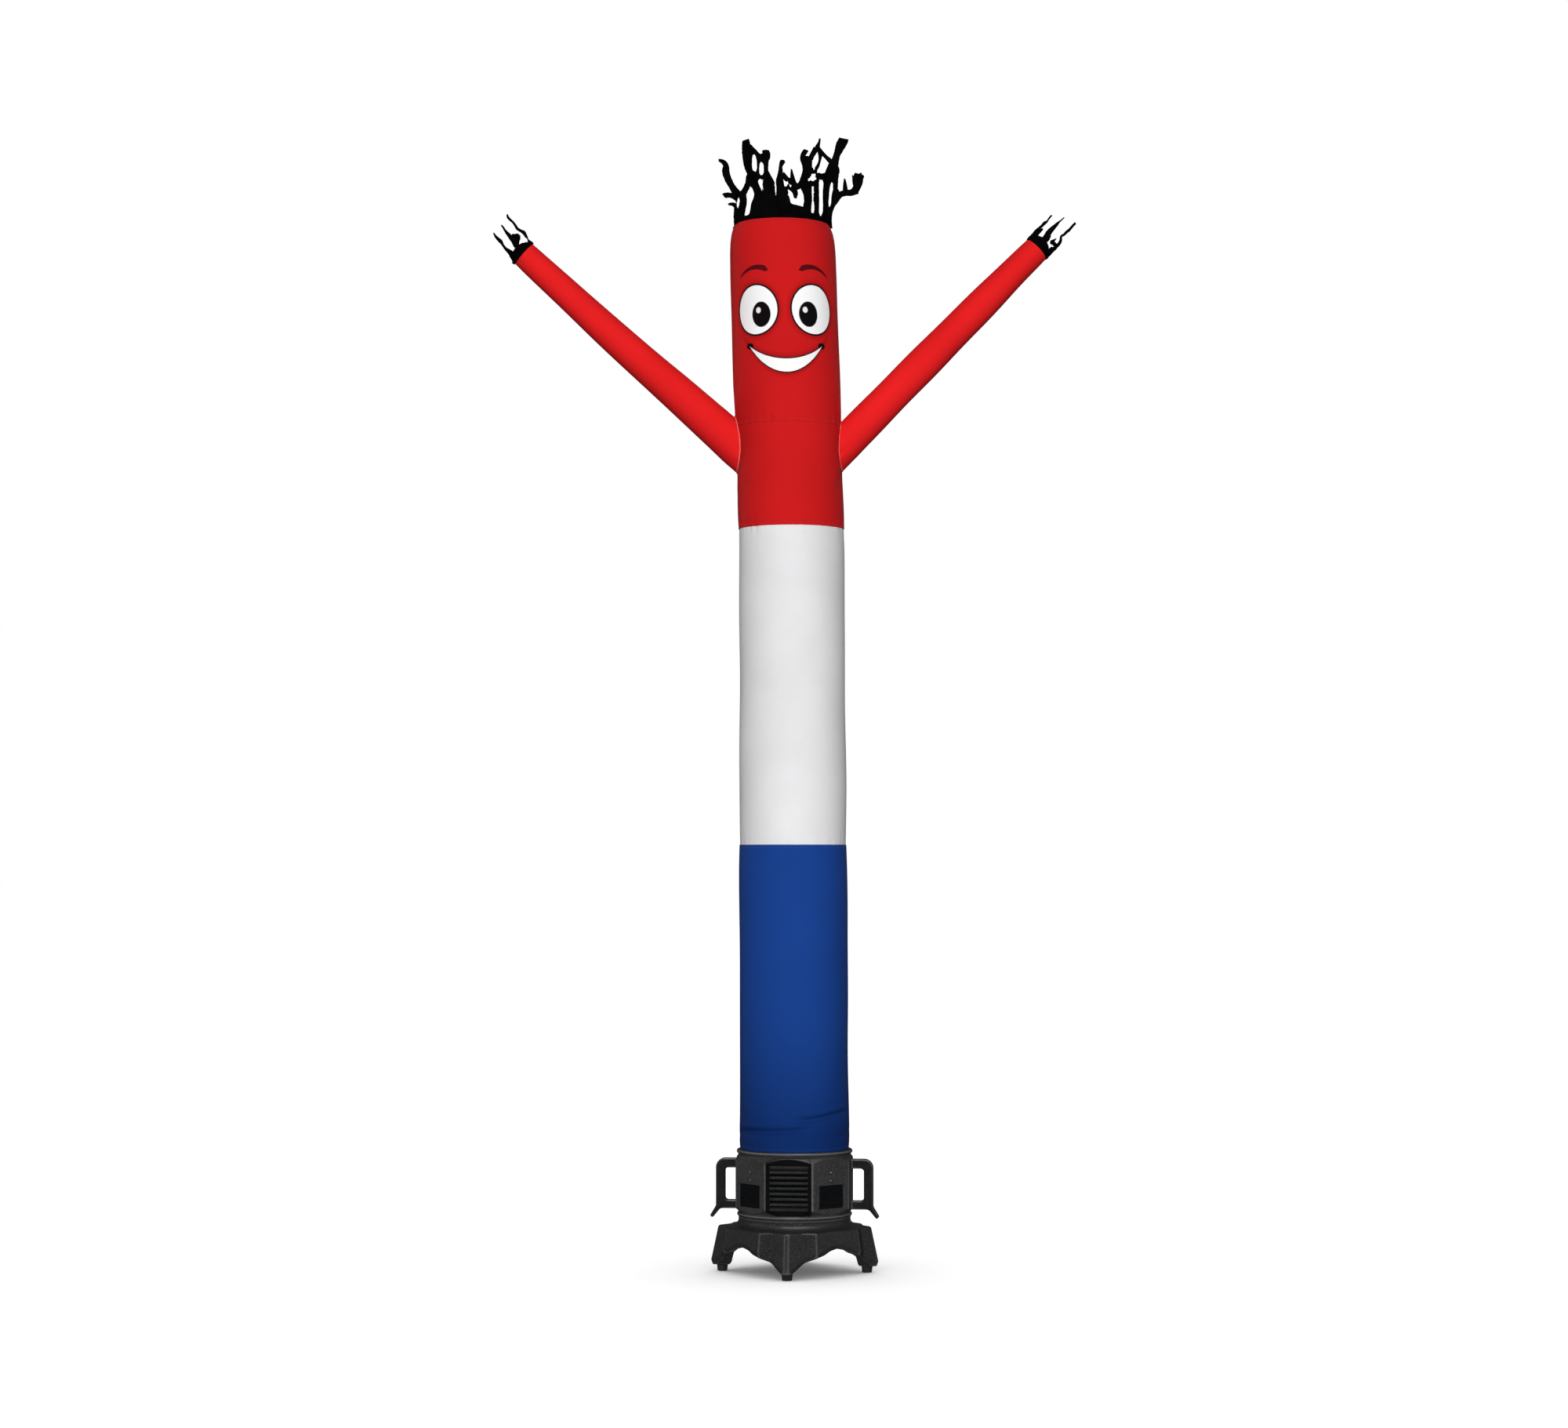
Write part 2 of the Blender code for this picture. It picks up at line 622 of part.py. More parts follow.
def housing_section(turn):
    """The housing's wall in one direction: neck, rolled rim, face, lower lip and the duct inside."""
    from_middle = (turn + 22.5) % 45.0 - 22.5
    face = APOTHEM / math.cos(math.radians(from_middle))
    if from_middle == -22.5:
        face -= CORNER_CUT
    slope = face - SLOPE_RADIUS
    return (
        (DUCT_RADIUS, NECK_TOP_Z),
        (NECK_RADIUS - 0.0015, NECK_TOP_Z),
        (NECK_RADIUS, NECK_TOP_Z - 0.0025),
        (NECK_RADIUS, RIM_TOP_Z),
        (0.1610, RIM_TOP_Z),
        (0.1650, RIM_TOP_Z - 0.0020),
        (RIM_RADIUS, RIM_TOP_Z - 0.0062),
        (0.1648, RIM_TOP_Z - 0.0108),
        (WAIST_RADIUS, RIM_TOP_Z - 0.0128),
        (WAIST_RADIUS, SLOPE_TOP_Z - WAIST_RADIUS + SLOPE_RADIUS),
        (face, SLOPE_TOP_Z - slope),
        (face, SLOPE_BOTTOM_Z + slope),
        (WAIST_RADIUS, SLOPE_BOTTOM_Z + WAIST_RADIUS - SLOPE_RADIUS),
        (WAIST_RADIUS, 0.1722),
        (0.1642, 0.1704),
        (0.1652, 0.1670),
        (0.1640, 0.1636),
        (0.1600, BODY_BOTTOM_Z),
        (DUCT_RADIUS, BODY_BOTTOM_Z),
    )


def housing(axis):
    """The eight-sided body with its outlet neck, rim and lip, open through as one duct."""
    turns = [side * 45.0 + column for side in range(HOUSING_SIDES) for column in FACE_COLUMNS]
    loft("blower_housing", turns, housing_section, "plastic_black", axis)


def outline_point(turn):
    """The skirt's top outline in one direction: turn in degrees from a leg's centre line, at most 45."""
    direction = Vector((math.sin(math.radians(abs(turn))), math.cos(math.radians(abs(turn)))))
    for start, end in zip(LEG_OUTLINE, LEG_OUTLINE[1:]):
        a, b = Vector(start), Vector(end)
        edge = b - a
        scale = (a.x * edge.y - a.y * edge.x) / (direction.x * edge.y - direction.y * edge.x)
        point = direction * scale
        if (point - a).dot(edge) <= edge.length_squared * (1 + 1e-6):
            break
    return point.length


def leg_turns():
    """Directions of the base's columns over one quarter: every corner of the outline, and an even spread between."""
    corners = {round(math.degrees(math.atan2(x, y)), 6) for x, y in LEG_OUTLINE}
    corners |= {float(turn) for turn, _ in SKIRT_EDGE}
    half = sorted(corners)
    while len(half) < BASE_COLUMNS // 8:
        widest = max(range(len(half) - 1), key=lambda i: half[i + 1] - half[i])
        half.insert(widest + 1, (half[widest] + half[widest + 1]) / 2)
    return [-turn for turn in reversed(half[1:])] + half[:-1]


def base_section(turn):
    """The base's wall in one direction, as a closed loop of (radius, height): down the outside and up the inside."""
    top = outline_point(turn)
    edge_z = interpolate(SKIRT_EDGE, abs(turn))
    legness = max(0.0, (top - APOTHEM) / (LEG_OUTLINE[0][1] - APOTHEM))
    drop = (BASE_TOP_Z - edge_z) / (BASE_TOP_Z - LEG_BOTTOM_Z)
    foot = top + SKIRT_SPREAD * drop * legness
    return (
        (0.1610, 0.1600),
        (0.1606, 0.1510),
        (0.1650, 0.1410),
        (0.1780, 0.1345),
        (top - 0.0035, BASE_TOP_Z),
        (top, BASE_TOP_Z - 0.0035),
        (foot, edge_z + LEG_CHAMFER),
        (foot - 0.35 * LEG_CHAMFER, edge_z),
        (SKIRT_INNER + 0.004, edge_z),
        (SKIRT_INNER, edge_z + 0.006),
        (SKIRT_INNER, PLATE_UNDER_Z),
        (BASE_BORE, PLATE_UNDER_Z),
        (BASE_BORE, 0.1600),
    )


def base(axis):
    """The base moulding: collar, top and the skirt whose sections differ all the way round."""
    turns = [leg * 90.0 + turn for leg in range(4) for turn in leg_turns()]
    loft("blower_base", turns, lambda turn: base_section((turn + 45.0) % 90.0 - 45.0), "plastic_black", axis)


def feet(axis):
    """A tapered rubber foot under the end of each leg."""
    height = LEG_BOTTOM_Z - GAP
    for index, name in enumerate(LEG_NAMES):
        bm = bmesh.new()
        bmesh.ops.create_cone(
            bm,
            cap_ends=True,
            segments=FOOT_SIDES,
            radius1=FOOT_RADIUS,
            radius2=FOOT_TOP_RADIUS,
            depth=height,
            matrix=Matrix.Translation((0.0, -FOOT_REACH, height / 2)),
        )
        bmesh.ops.rotate(bm, verts=bm.verts, matrix=Matrix.Rotation(index * math.pi / 2, 3, "Z"))
        piece = add_piece("foot_" + name, mesh_from(bm, "foot_" + name), "rubber_black")
        piece.parent = axis


def rounded(corners):
    """The points of a closed outline whose corners are rounded by arcs."""
    points = []
    for index, (x, z, radius) in enumerate(corners):
        here = Vector((x, z))
        before = Vector(corners[index - 1][:2]) - here
        after = Vector(corners[(index + 1) % len(corners)][:2]) - here
        if radius == 0.0:
            points.append(here)
            continue
        half_angle = before.angle(after) / 2
        reach = radius / math.tan(half_angle)
        centre = here + (before.normalized() + after.normalized()).normalized() * radius / math.sin(half_angle)
        first = here + before.normalized() * reach - centre
        last = here + after.normalized() * reach - centre
        swing = first.angle_signed(last)
        for step in range(ARC_STEPS + 1):
            angle = -swing * step / ARC_STEPS
            turn = Matrix.Rotation(angle, 2)
            points.append(centre + turn @ first)
    return points


def flat_outline(name, points, width, edge):
    """An outline in the XZ plane, extruded to a width along Y, with its two rims rounded off."""
    bm = bmesh.new()
    face = bm.faces.new([bm.verts.new((x, -width / 2, z)) for x, z in points])
    grown = bmesh.ops.extrude_face_region(bm, geom=[face])["geom"]
    moved = [item for item in grown if isinstance(item, bmesh.types.BMVert)]
    bmesh.ops.translate(bm, verts=moved, vec=(0.0, width, 0.0))
    bmesh.ops.recalc_face_normals(bm, faces=bm.faces)
    if edge:
        rims = [item for item in bm.edges if abs(item.verts[0].co.y - item.verts[1].co.y) < 1e-6]
        bmesh.ops.bevel(bm, geom=rims, offset=edge, segments=2, profile=0.5, affect="EDGES")
    return mesh_from(bm, name)


def handles(axis):
    """Two carrying handles, each with a tail that the cord winds round."""
    for name, turn in (("handle_right", 0.0), ("handle_left", math.pi)):
        mesh = flat_outline(name, rounded(HANDLE_OUTLINE), HANDLE_WIDTH, HANDLE_EDGE)
        mesh.transform(Matrix.Rotation(turn, 4, "Z"))
        piece = add_piece(name, mesh, "plastic_black")
        piece.parent = axis


def on_face(turn, out, z):
    """A frame on the housing's face in that direction: its -Y points out of the face."""
    return Matrix.Rotation(math.radians(turn), 4, "Z") @ Matrix.Translation((0.0, -APOTHEM - GAP - out, z))


def face_plates(axis):
    """A blank plate on each of the two faces beside the front, and two screws above it."""
    for side, turn in (("left", -45), ("right", 45)):
        bm = bmesh.new()
        bmesh.ops.create_cube(bm, size=1.0, matrix=Matrix.Diagonal((*PLATE_SIZE, 1.0)))
        bmesh.ops.bevel(bm, geom=bm.edges[:], offset=PLATE_EDGE, segments=1, affect="EDGES")
        bmesh.ops.transform(bm, matrix=on_face(turn, PLATE_SIZE[1] / 2, PLATE_Z), verts=bm.verts)
        piece = add_piece("blank_plate_" + side, mesh_from(bm, "blank_plate_" + side), "plate_black")
        piece.parent = axis
        for number, z in enumerate(SCREW_HEIGHTS, 1):
            name = f"screw_{side}_{number}"
            profile = ((0.0, SCREW_HEAD), (SCREW_RADIUS * 0.6, SCREW_HEAD * 0.8), (SCREW_RADIUS, 0.0), (0.0, 0.0))
            mesh = lathe(name, profile, steps=12)
            mesh.transform(on_face(turn, 0.0, z) @ Matrix.Rotation(math.pi / 2, 4, "X"))
            piece = add_piece(name, mesh, "steel")
            piece.parent = axis


def vent_panel(axis):
    """A plain panel of straight level ribs on the front face: its side outline, extruded across the face."""
    low, high = VENT_Z
    pitch = (high - low - 2 * VENT_MARGIN) / VENT_RIBS
    outline = [(0.0, low), (VENT_PLATE, low)]
    for rib in range(VENT_RIBS):
        start = low + VENT_MARGIN + pitch * (rib + 0.25)
        outline += [(VENT_PLATE, start), (VENT_RIB, start + VENT_CORNER)]
        outline += [(VENT_RIB, start + pitch / 2 - VENT_CORNER), (VENT_PLATE, start + pitch / 2)]
    outline += [(VENT_PLATE, high), (0.0, high)]
    mesh = flat_outline("vent_panel", outline, VENT_WIDTH, 0.0)
    mesh.transform(on_face(0, 0.0, 0.0) @ Matrix.Rotation(-math.pi / 2, 4, "Z"))
    piece = add_piece("vent_panel", mesh, "plastic_black")
    piece.parent = axis


def power_gland(axis):
    """The gland at the back, low on the housing, where the power cord goes in."""
    mesh = lathe("power_gland", GLAND_PROFILE, steps=20)
    mesh.transform(on_face(180, 0.0, GLAND_Z) @ Matrix.Rotation(math.pi / 2, 4, "X"))
    piece = add_piece("power_gland", mesh, "rubber_black")
    piece.parent = axis


# --- The whole object ----------------------------------------------------------------------------------
def dancer():
    """The cloth: four panels, two sleeves and three fringes."""
    panel("panel_blue", BLUE_PROFILE, "cloth_blue", row_heights(BLUE_PROFILE, 0.125, 0.0125, 0.48))
    panel("panel_white", WHITE_PROFILE, "cloth_white", row_heights(WHITE_PROFILE, 0.130, 0.036, 1.25))
    red_heights = row_heights(RED_PROFILE, 0.030, 0.030, RED_HEAD_Z)
    head_heights = row_heights(HEAD_PROFILE, 0.075, 0.035, 2.50)[:-2] + [2.930, 2.958, 2.978, 2.990, HEAD_TOP_Z]
    red = panel("panel_red", RED_PROFILE, "cloth_red", red_heights)
    head = panel("head", HEAD_PROFILE, "cloth_red", head_heights)
    plug_heights = red_heights[:-1] + [z for z in head_heights if z < 2.6]
    plug = tube_plug("tube_plug", RED_PROFILE + HEAD_PROFILE, plug_heights, GAP + 0.0002)
    for side in SLEEVES:
        sleeve(side, plug, (red, head))
    fringe("hair_fringe", hair_frame(), HEAD_PROFILE[-1][1] - CLOTH / 2, HAIR_LOCKS)
    for side, locks in (("left", LEFT_HAND_LOCKS), ("right", RIGHT_HAND_LOCKS)):
        frame, radius = sleeve_end_frame(SLEEVES[side])
        fringe("hand_fringe_" + side, frame, radius - CLOTH / 2, locks)


def blower():
    """The blower: housing, base, feet, handles and what is fitted to its faces."""
    axis = blower_empty()
    housing(axis)
    base(axis)
    feet(axis)
    handles(axis)
    face_plates(axis)
    vent_panel(axis)
    power_gland(axis)


clear_scene()
PARTS, CUTTERS = collections()
dancer()
blower()
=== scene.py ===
"""Looks of the inflatable air dancer: cloth, sewing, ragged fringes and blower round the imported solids.

Metres, +Z up, front towards -Y. A piece that replaces a solid repeats that solid's own measures.
Turns are degrees round an axis from the front, positive towards +X.
"""

import math
import random
from functools import cached_property

import bmesh
import bpy
import numpy as np
from mathutils import Matrix, Vector
from mathutils.geometry import delaunay_2d_cdt


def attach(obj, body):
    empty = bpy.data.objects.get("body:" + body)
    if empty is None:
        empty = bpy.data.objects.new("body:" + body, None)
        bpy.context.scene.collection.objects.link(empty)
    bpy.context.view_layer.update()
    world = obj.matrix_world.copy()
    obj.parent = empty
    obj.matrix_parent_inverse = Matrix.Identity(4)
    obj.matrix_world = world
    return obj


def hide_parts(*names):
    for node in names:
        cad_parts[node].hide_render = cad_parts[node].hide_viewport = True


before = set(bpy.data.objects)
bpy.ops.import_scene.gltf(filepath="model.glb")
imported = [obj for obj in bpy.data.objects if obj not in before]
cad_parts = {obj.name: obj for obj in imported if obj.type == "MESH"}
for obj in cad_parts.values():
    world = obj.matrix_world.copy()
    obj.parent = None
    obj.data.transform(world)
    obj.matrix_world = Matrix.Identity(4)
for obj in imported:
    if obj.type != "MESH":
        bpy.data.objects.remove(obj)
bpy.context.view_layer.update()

# --- The tube: axis, and outer radius of each panel as (height, radius) ---
CLOTH = 0.0012
BLOWER_X = 0.0304
HEM_Z = 0.3533
BLUE_WHITE_Z = 1.224
WHITE_RED_Z = 2.128
HEAD_LOW_Z = 2.4205
RED_HEAD_Z = 2.430
HEAD_TOP_Z = 2.998
LEAN_LOW = 0.0047  # the axis leans to the left by this slope, and by LEAN_HIGH above LEAN_START
LEAN_HIGH = 0.029
LEAN_START = 2.05
LEAN_EASE = 0.10
TUBE_RADIUS = 0.155  # mean, for measures along the cloth

BLUE = (
    (HEM_Z, 0.1562), (0.372, 0.1572), (0.400, 0.1574), (0.440, 0.1570), (0.550, 0.1562), (0.850, 0.1550),
    (1.190, 0.1541), (BLUE_WHITE_Z, 0.1532),
)
WHITE = (
    (BLUE_WHITE_Z - 0.011, 0.1511), (BLUE_WHITE_Z, 0.1513), (1.260, 0.1520), (1.700, 0.1510), (2.100, 0.1498),
    (WHITE_RED_Z, 0.1492), (WHITE_RED_Z + 0.011, 0.1489),
)
RED = (
    (WHITE_RED_Z, 0.1511), (2.165, 0.1518), (2.280, 0.1510), (2.395, 0.1515), (2.4175, 0.1511),
    (HEAD_LOW_Z, 0.1500), (2.432, 0.1498),
)
HEAD = (
    (HEAD_LOW_Z, 0.1517), (RED_HEAD_Z, 0.1517), (2.465, 0.1524), (2.540, 0.1538), (2.750, 0.1531),
    (2.880, 0.1524), (2.930, 0.1512), (2.958, 0.1488), (2.978, 0.1448), (2.990, 0.1406), (HEAD_TOP_Z, 0.1362),
)
PANELS = (  # name, profile, material, height of a row, and which edges are lapped over the neighbour: low, high
    ("panel_blue", BLUE, "blue", 0.0100, (True, True)),
    ("panel_white", WHITE, "white", 0.0110, (False, False)),
    ("panel_red", RED, "red", 0.0074, (True, False)),
    ("head", HEAD, "face", 0.0074, (True, True)),
)

# Soft folds: turn and height of one end, the same of the other, depth, half-width and bow.
FOLDS = (
    (-96, 0.397, 30, 0.424, 0.0088, 0.0082, 0.003),
    (-10, 0.444, 84, 0.462, 0.0082, 0.0078, -0.004),
    (95, 0.402, 178, 0.432, 0.0035, 0.014, 0.003),
    (-175, 0.440, -100, 0.412, 0.0030, 0.014, -0.003),
    (-50, 0.421, 8, 0.441, 0.0012, 0.006, 0.002),
    (30, 0.392, 96, 0.404, 0.0016, 0.009, -0.002),
    (-130, 0.380, -84, 0.392, 0.0014, 0.008, 0.002),
    (-62, 2.404, 48, 2.410, 0.0016, 0.016, 0.002),
    (58, 2.225, 88, 2.300, 0.0030, 0.018, 0.000),
    (-84, 2.205, -52, 2.268, 0.0024, 0.016, 0.000),
    (120, 2.300, 205, 2.335, 0.0026, 0.018, 0.003),
    (62, 2.470, 84, 2.545, 0.0016, 0.013, 0.000),
    (-86, 2.500, -66, 2.570, 0.0014, 0.013, 0.000),
    (-160, 2.120, -110, 2.165, 0.0012, 0.012, 0.002),
)
FOLD_FADE = 0.32  # the share of a fold's length over which it dies away
SEAMS = (HEM_Z, BLUE_WHITE_Z, WHITE_RED_Z, RED_HEAD_Z, HEAD_TOP_Z)

TUBE_COLUMNS = 256
EDGE_ROWS = np.array((0, 0.7, 1.5, 2.7, 4.1, 6.1, 8.1, 9.5, 10.9, 13.6, 17.0, 21.2, 26.4)) / 1000
FINE_ROWS = (0.372, 0.486)  # the heights of the sharper folds over the blower
FINE_STEP = 0.0025
STITCH_ROWS = (0.0027, 0.0081)  # how far from a lapped edge its stitches lie
BACK_STITCHES = (178.5, 181.5)  # the turns of the rows along the tube's back seam
STITCH = (0.0024, 0.0012, 0.00036)  # length, gap and half-width


# --- Ragged cloth: strokes of sideways, up and width in millimetres, as seen from the front, and holes ---
def shapes(size, *rows):
    """Each row's numbers as points of that many numbers each."""
    return [np.reshape(row, (-1, size)).tolist() for row in rows]


HAIR_FRONT = shapes(
    3,
    (-175, 178, 5, -167, 175, 10, -158, 165, 11, -158, 148, 16, -152, 127, 16, -140, 105, 15, -126, 80, 20,
     -115, 60, 25, -118, 35, 29, -120, 10, 28, -121, -18, 22),
    (-160, 79, 11, -152, 81, 10, -137, 77, 11, -124, 66, 10),
    (-151, 55, 4, -142, 56, 8, -129, 47, 11, -122, 31, 13),
    (-121, 65, 13, -106, 78, 11, -96, 96, 11, -92, 115, 13),
    (-106, 70, 11, -106, 45, 11, -111, 20, 10, -115, -1, 16),
    (-102, 218, 18, -101, 206, 22, -97, 183, 27, -96, 160, 22, -88, 133, 19, -82, 113, 29, -74, 90, 19,
     -66, 70, 29, -63, 38, 44, -63, 6, 60, -63, -20, 70),
    (-90, 200, 10, -79, 184, 14, -63, 169, 11, -50, 165, 22),
    (-53, 182, 3, -44, 175, 21, -48, 163, 29, -45, 147, 13, -46, 128, 14, -41, 112, 19, -37, 93, 32,
     -34, 67, 29, -34, 42, 38, -34, 16, 54, -34, -20, 63),
    (-67, 162, 13, -66, 136, 8, -63, 116, 19, -48, 115, 16),
    (-72, 105, 14, -66, 76, 16, -50, 62, 19),
    (8, 154, 3, 2, 152, 11, -2, 142, 7, -3, 123, 11, -5, 101, 19, -3, 79, 21, 1, 60, 32, 1, 31, 41, 1, -4, 63,
     1, -20, 70),
    (4, 117, 11, 18, 104, 10, 29, 99, 14),
    (28, 133, 2, 29, 124, 5, 31, 108, 11, 32, 96, 19, 35, 80, 19, 18, 85, 11),
    (7, 79, 19, 14, 60, 10, 18, 47, 10, 16, 28, 25, 20, -3, 63),
    (35, 86, 15, 51, 90, 14, 62, 107, 16),
    (34, 80, 16, 39, 66, 13, 39, 55, 6),
    (73, 191, 4, 67, 187, 11, 61, 178, 11, 61, 166, 14, 67, 152, 16, 69, 133, 16, 65, 114, 19, 64, 96, 25,
     70, 76, 19, 74, 51, 18, 72, 26, 22, 67, 0, 41, 64, -20, 54),
    (69, 165, 13, 78, 166, 10, 88, 182, 11, 96, 198, 13),
    (109, 231, 2, 107, 220, 4, 103, 208, 10, 102, 197, 15),
    (106, 201, 11, 117, 191, 10, 130, 183, 10, 145, 168, 11),
    (109, 192, 10, 110, 173, 6, 106, 153, 10, 96, 138, 10, 83, 134, 10),
    (80, 164, 10, 79, 144, 11, 78, 125, 11),
    (98, 122, 8, 112, 123, 10, 122, 120, 16),
    (75, 118, 10, 80, 100, 8, 98, 103, 10, 101, 113, 10),
    (98, 109, 10, 98, 81, 11, 98, 43, 13, 98, 11, 16, 98, -20, 19),
    (78, 93, 13, 80, 65, 10, 79, 20, 11, 80, -20, 29),
    (176, 229, 26, 169, 217, 27, 161, 198, 19, 154, 182, 15, 148, 166, 22, 141, 146, 29, 135, 124, 25,
     128, 97, 16, 125, 70, 14, 124, 38, 14, 123, 12, 19, 122, -14, 22),
    (154, 156, 6, 156, 146, 10, 150, 130, 19, 151, 118, 13, 153, 105, 7, 148, 79, 8, 145, 54, 10, 137, 34, 11),
    (122, -11, 19, 128, 11, 13, 132, 30, 11, 141, 49, 13, 153, 66, 16, 165, 79, 14, 183, 84, 13, 202, 87, 16,
     213, 102, 16, 215, 118, 24, 216, 131, 27),
    (180, 124, 2, 181, 111, 8, 182, 92, 13),
    (156, 84, 10, 151, 98, 6, 150, 108, 4),
    (213, 82, 2, 210, 89, 10),
    (-111, -21, 19, 7, -26, 35, 122, -18, 19),
    (-82, 21, 48, 7, 16, 63, 70, 13, 25, 115, 2, 19),
    (-57, 50, 32, -25, 41, 38, 4, 41, 38),
)
HAIR_HOLES = shapes(
    2,
    (-123, 74, -117, 60, -118, 48, -123, 34, -129, 50, -127, 65),
    (-87, 93, -80, 82, -76, 61, -85, 44, -88, 22, -97, 3, -105, 4, -105, 20, -97, 55, -101, 69, -97, 81),
    (-78, 179, -72, 170, -69, 146, -71, 130, -80, 129, -84, 142, -84, 170),
    (-57, 154, -50, 147, -50, 119, -60, 117, -64, 127, -63, 149),
    (-61, 110, -56, 105, -56, 84, -53, 66, -60, 80, -69, 103),
    (18, 102, 19, 97, 8, 85, 7, 92, 13, 100),
    (26, 73, 33, 65, 28, 56, 21, 58, 16, 64),
    (53, 79, 60, 69, 65, 47, 58, 33, 39, 36, 27, 38, 23, 47, 34, 55, 43, 51, 48, 62, 48, 76),
    (101, 188, 106, 185, 104, 167, 98, 157, 90, 161, 91, 177),
    (91, 148, 95, 142, 92, 134, 87, 138),
    (115, 182, 124, 176, 132, 166, 126, 144, 118, 129, 106, 127, 99, 137, 107, 150, 111, 167),
    (90, 123, 99, 121, 99, 108, 86, 109, 75, 102, 73, 109, 78, 116),
    (89, 84, 92, 81, 92, 72, 86, 71, 85, 80),
    (89, 55, 93, 48, 93, 26, 90, 10, 85, 10, 83, 24, 85, 47),
    (114, 119, 119, 115, 117, 73, 119, 29, 112, 14, 104, 18, 106, 70, 110, 109),
    (145, 116, 147, 108, 143, 79, 141, 54, 134, 42, 131, 54, 133, 86, 138, 113),
)
FRONT_ONLY = (2, 8, 12, 15, 19, 25, 29, 32, 33, 34)  # front strips that the hair's far side goes without
BACK_BAND = ((-131, 8, 24), (0, 6, 26), (131, 8, 24))
FAR_TIPS = 188  # how high the far strips reach
VIEW_RISE = 0.19  # how steeply the photograph looks up at the hair
HAIR_RADIUS = 0.1354
HAIR_FORM = {"top": 0.020, "lean": 0.013, "drift": 0.034, "spacing": 4.2, "wider": 2.4, "taller": 1.035}
HAND_FORM = {"top": 0.014, "lean": 0.005, "drift": 0.012, "spacing": 2.4, "wider": 1.0, "taller": 1.0}
HANDS = {  # front strips, the holes in them, and back strips
    "left": (
        shapes(
            3,
            (-50, 110, 3, -46, 104, 6, -45, 96, 6, -45, 84, 5, -43, 73, 6, -40, 62, 7, -42, 51, 7, -44, 42, 10,
             -40, 28, 7, -36, 18, 6, -36, 9, 8, -35, -4, 10),
            (-15, 100, 2, -14, 93, 4, -11, 83, 5, -9, 73, 8, -8, 63, 11, -5, 52, 11, -2, 38, 10, -2, 27, 11,
             -3, 15, 19),
            (17, 100, 2, 20, 91, 5, 21, 79, 8, 21, 69, 9, 24, 58, 5, 26, 46, 6, 25, 33, 11, 26, 21, 16,
             29, 11, 16, 30, -4, 18),
            (32, 4, 14, 20, 13, 20, 5, 15, 24, -18, 9, 22, -34, 2, 14),
        ),
        shapes(
            2,
            (-36, 44, -36, 36, -37, 24, -35, 17, -28, 15, -21, 21, -19, 29, -18, 34, -16, 44, -17, 46, -23, 38,
             -30, 39, -34, 42),
        ),
        shapes(
            3,
            (-21, 66, 3, -22, 58, 11, -25, 50, 18, -18, 46, 16, -10, 40, 14, -5, 26, 14, -4, 4, 18),
            (-10, 62, 5, -9, 52, 10, -5, 42, 10, -3, 24, 10),
            (22, 60, 3, 22, 44, 9, 24, 24, 12, 24, 2, 14),
            (-37, 5, 12, 0, 5, 14, 37, 5, 12),
        ),
    ),
    "right": (
        shapes(
            3,
            (37, 101, 4, 36, 89, 4, 34, 80, 3, 35, 73, 10, 35, 60, 8, 36, 49, 8, 35, 39, 13, 32, 28, 17,
             30, 12, 20, 30, -4, 18),
            (5, 115, 2, 5, 106, 3, 6, 96, 4, 6, 86, 8, 6, 74, 11, 6, 60, 14, 4, 46, 16, 0, 32, 18, 0, 14, 26),
            (-28, 131, 5, -28, 121, 5, -29, 108, 6, -28, 95, 6, -28, 84, 5, -26, 75, 5, -33, 67, 8, -36, 59, 8,
             -36, 47, 8, -33, 37, 7, -32, 25, 11, -32, 13, 10, -33, -4, 12),
            (34, 5, 12, 21, 14, 22, 0, 16, 26, -19, 13, 22, -33, 5, 14),
        ),
        shapes(
            2,
            (-4, 59, -8, 63, -13, 59, -14, 53, -21, 59, -25, 59, -31, 47, -32, 36, -27, 33, -16, 34, -8, 41,
             -4, 51),
        ),
        shapes(
            3,
            (-16, 74, 2, -15, 66, 7, -14, 60, 13, -24, 58, 10, -32, 54, 9, -35, 30, 9, -34, 4, 12),
            (2, 70, 4, 0, 56, 10, 4, 40, 12, 3, 20, 14, 2, 4, 18),
            (30, 62, 4, 31, 46, 8, 30, 24, 12, 30, 2, 14),
            (-37, 5, 12, 0, 5, 14, 37, 5, 12),
        ),
    ),
}
HAND_RADII = (0.0367, 0.0382)
RAG_CLOTH = 0.0011
STRIP_STEP = 3.2
FRAY = 0.030  # unevenness of a strip's cut edges, as a share of its half-width
HOLE_FRAY = 0.25  # unevenness of a hole, in mm
CAP = ((0.97, 0.30, 0), (0.80, 0.52, 1), (0.0, 0.50, 0), (-0.80, 0.52, -1), (-0.97, 0.30, 0))  # a strip's end


# --- Materials ---
def worked_out_by(operation):
    return lambda *values: values[0].shade.math(operation, *values)


class Value:
    """Something that a material's nodes work out. Arithmetic on it adds more nodes."""

    __add__, __sub__, __mul__ = worked_out_by("ADD"), worked_out_by("SUBTRACT"), worked_out_by("MULTIPLY")
    __truediv__, __pow__, __abs__ = worked_out_by("DIVIDE"), worked_out_by("POWER"), worked_out_by("ABSOLUTE")

    def __init__(self, shade, socket):
        self.shade, self.socket = shade, socket

    def __rsub__(self, other):
        return self.shade.math("SUBTRACT", other, self)

    def ramp(self, low, high, out_low=0.0, out_high=1.0):
        ends = {"From Min": low, "From Max": high, "To Min": out_low, "To Max": out_high}
        return self.shade.add("MapRange", {**ends, "Value": self}, "Result", clamp=True)


largest = worked_out_by("MAXIMUM")


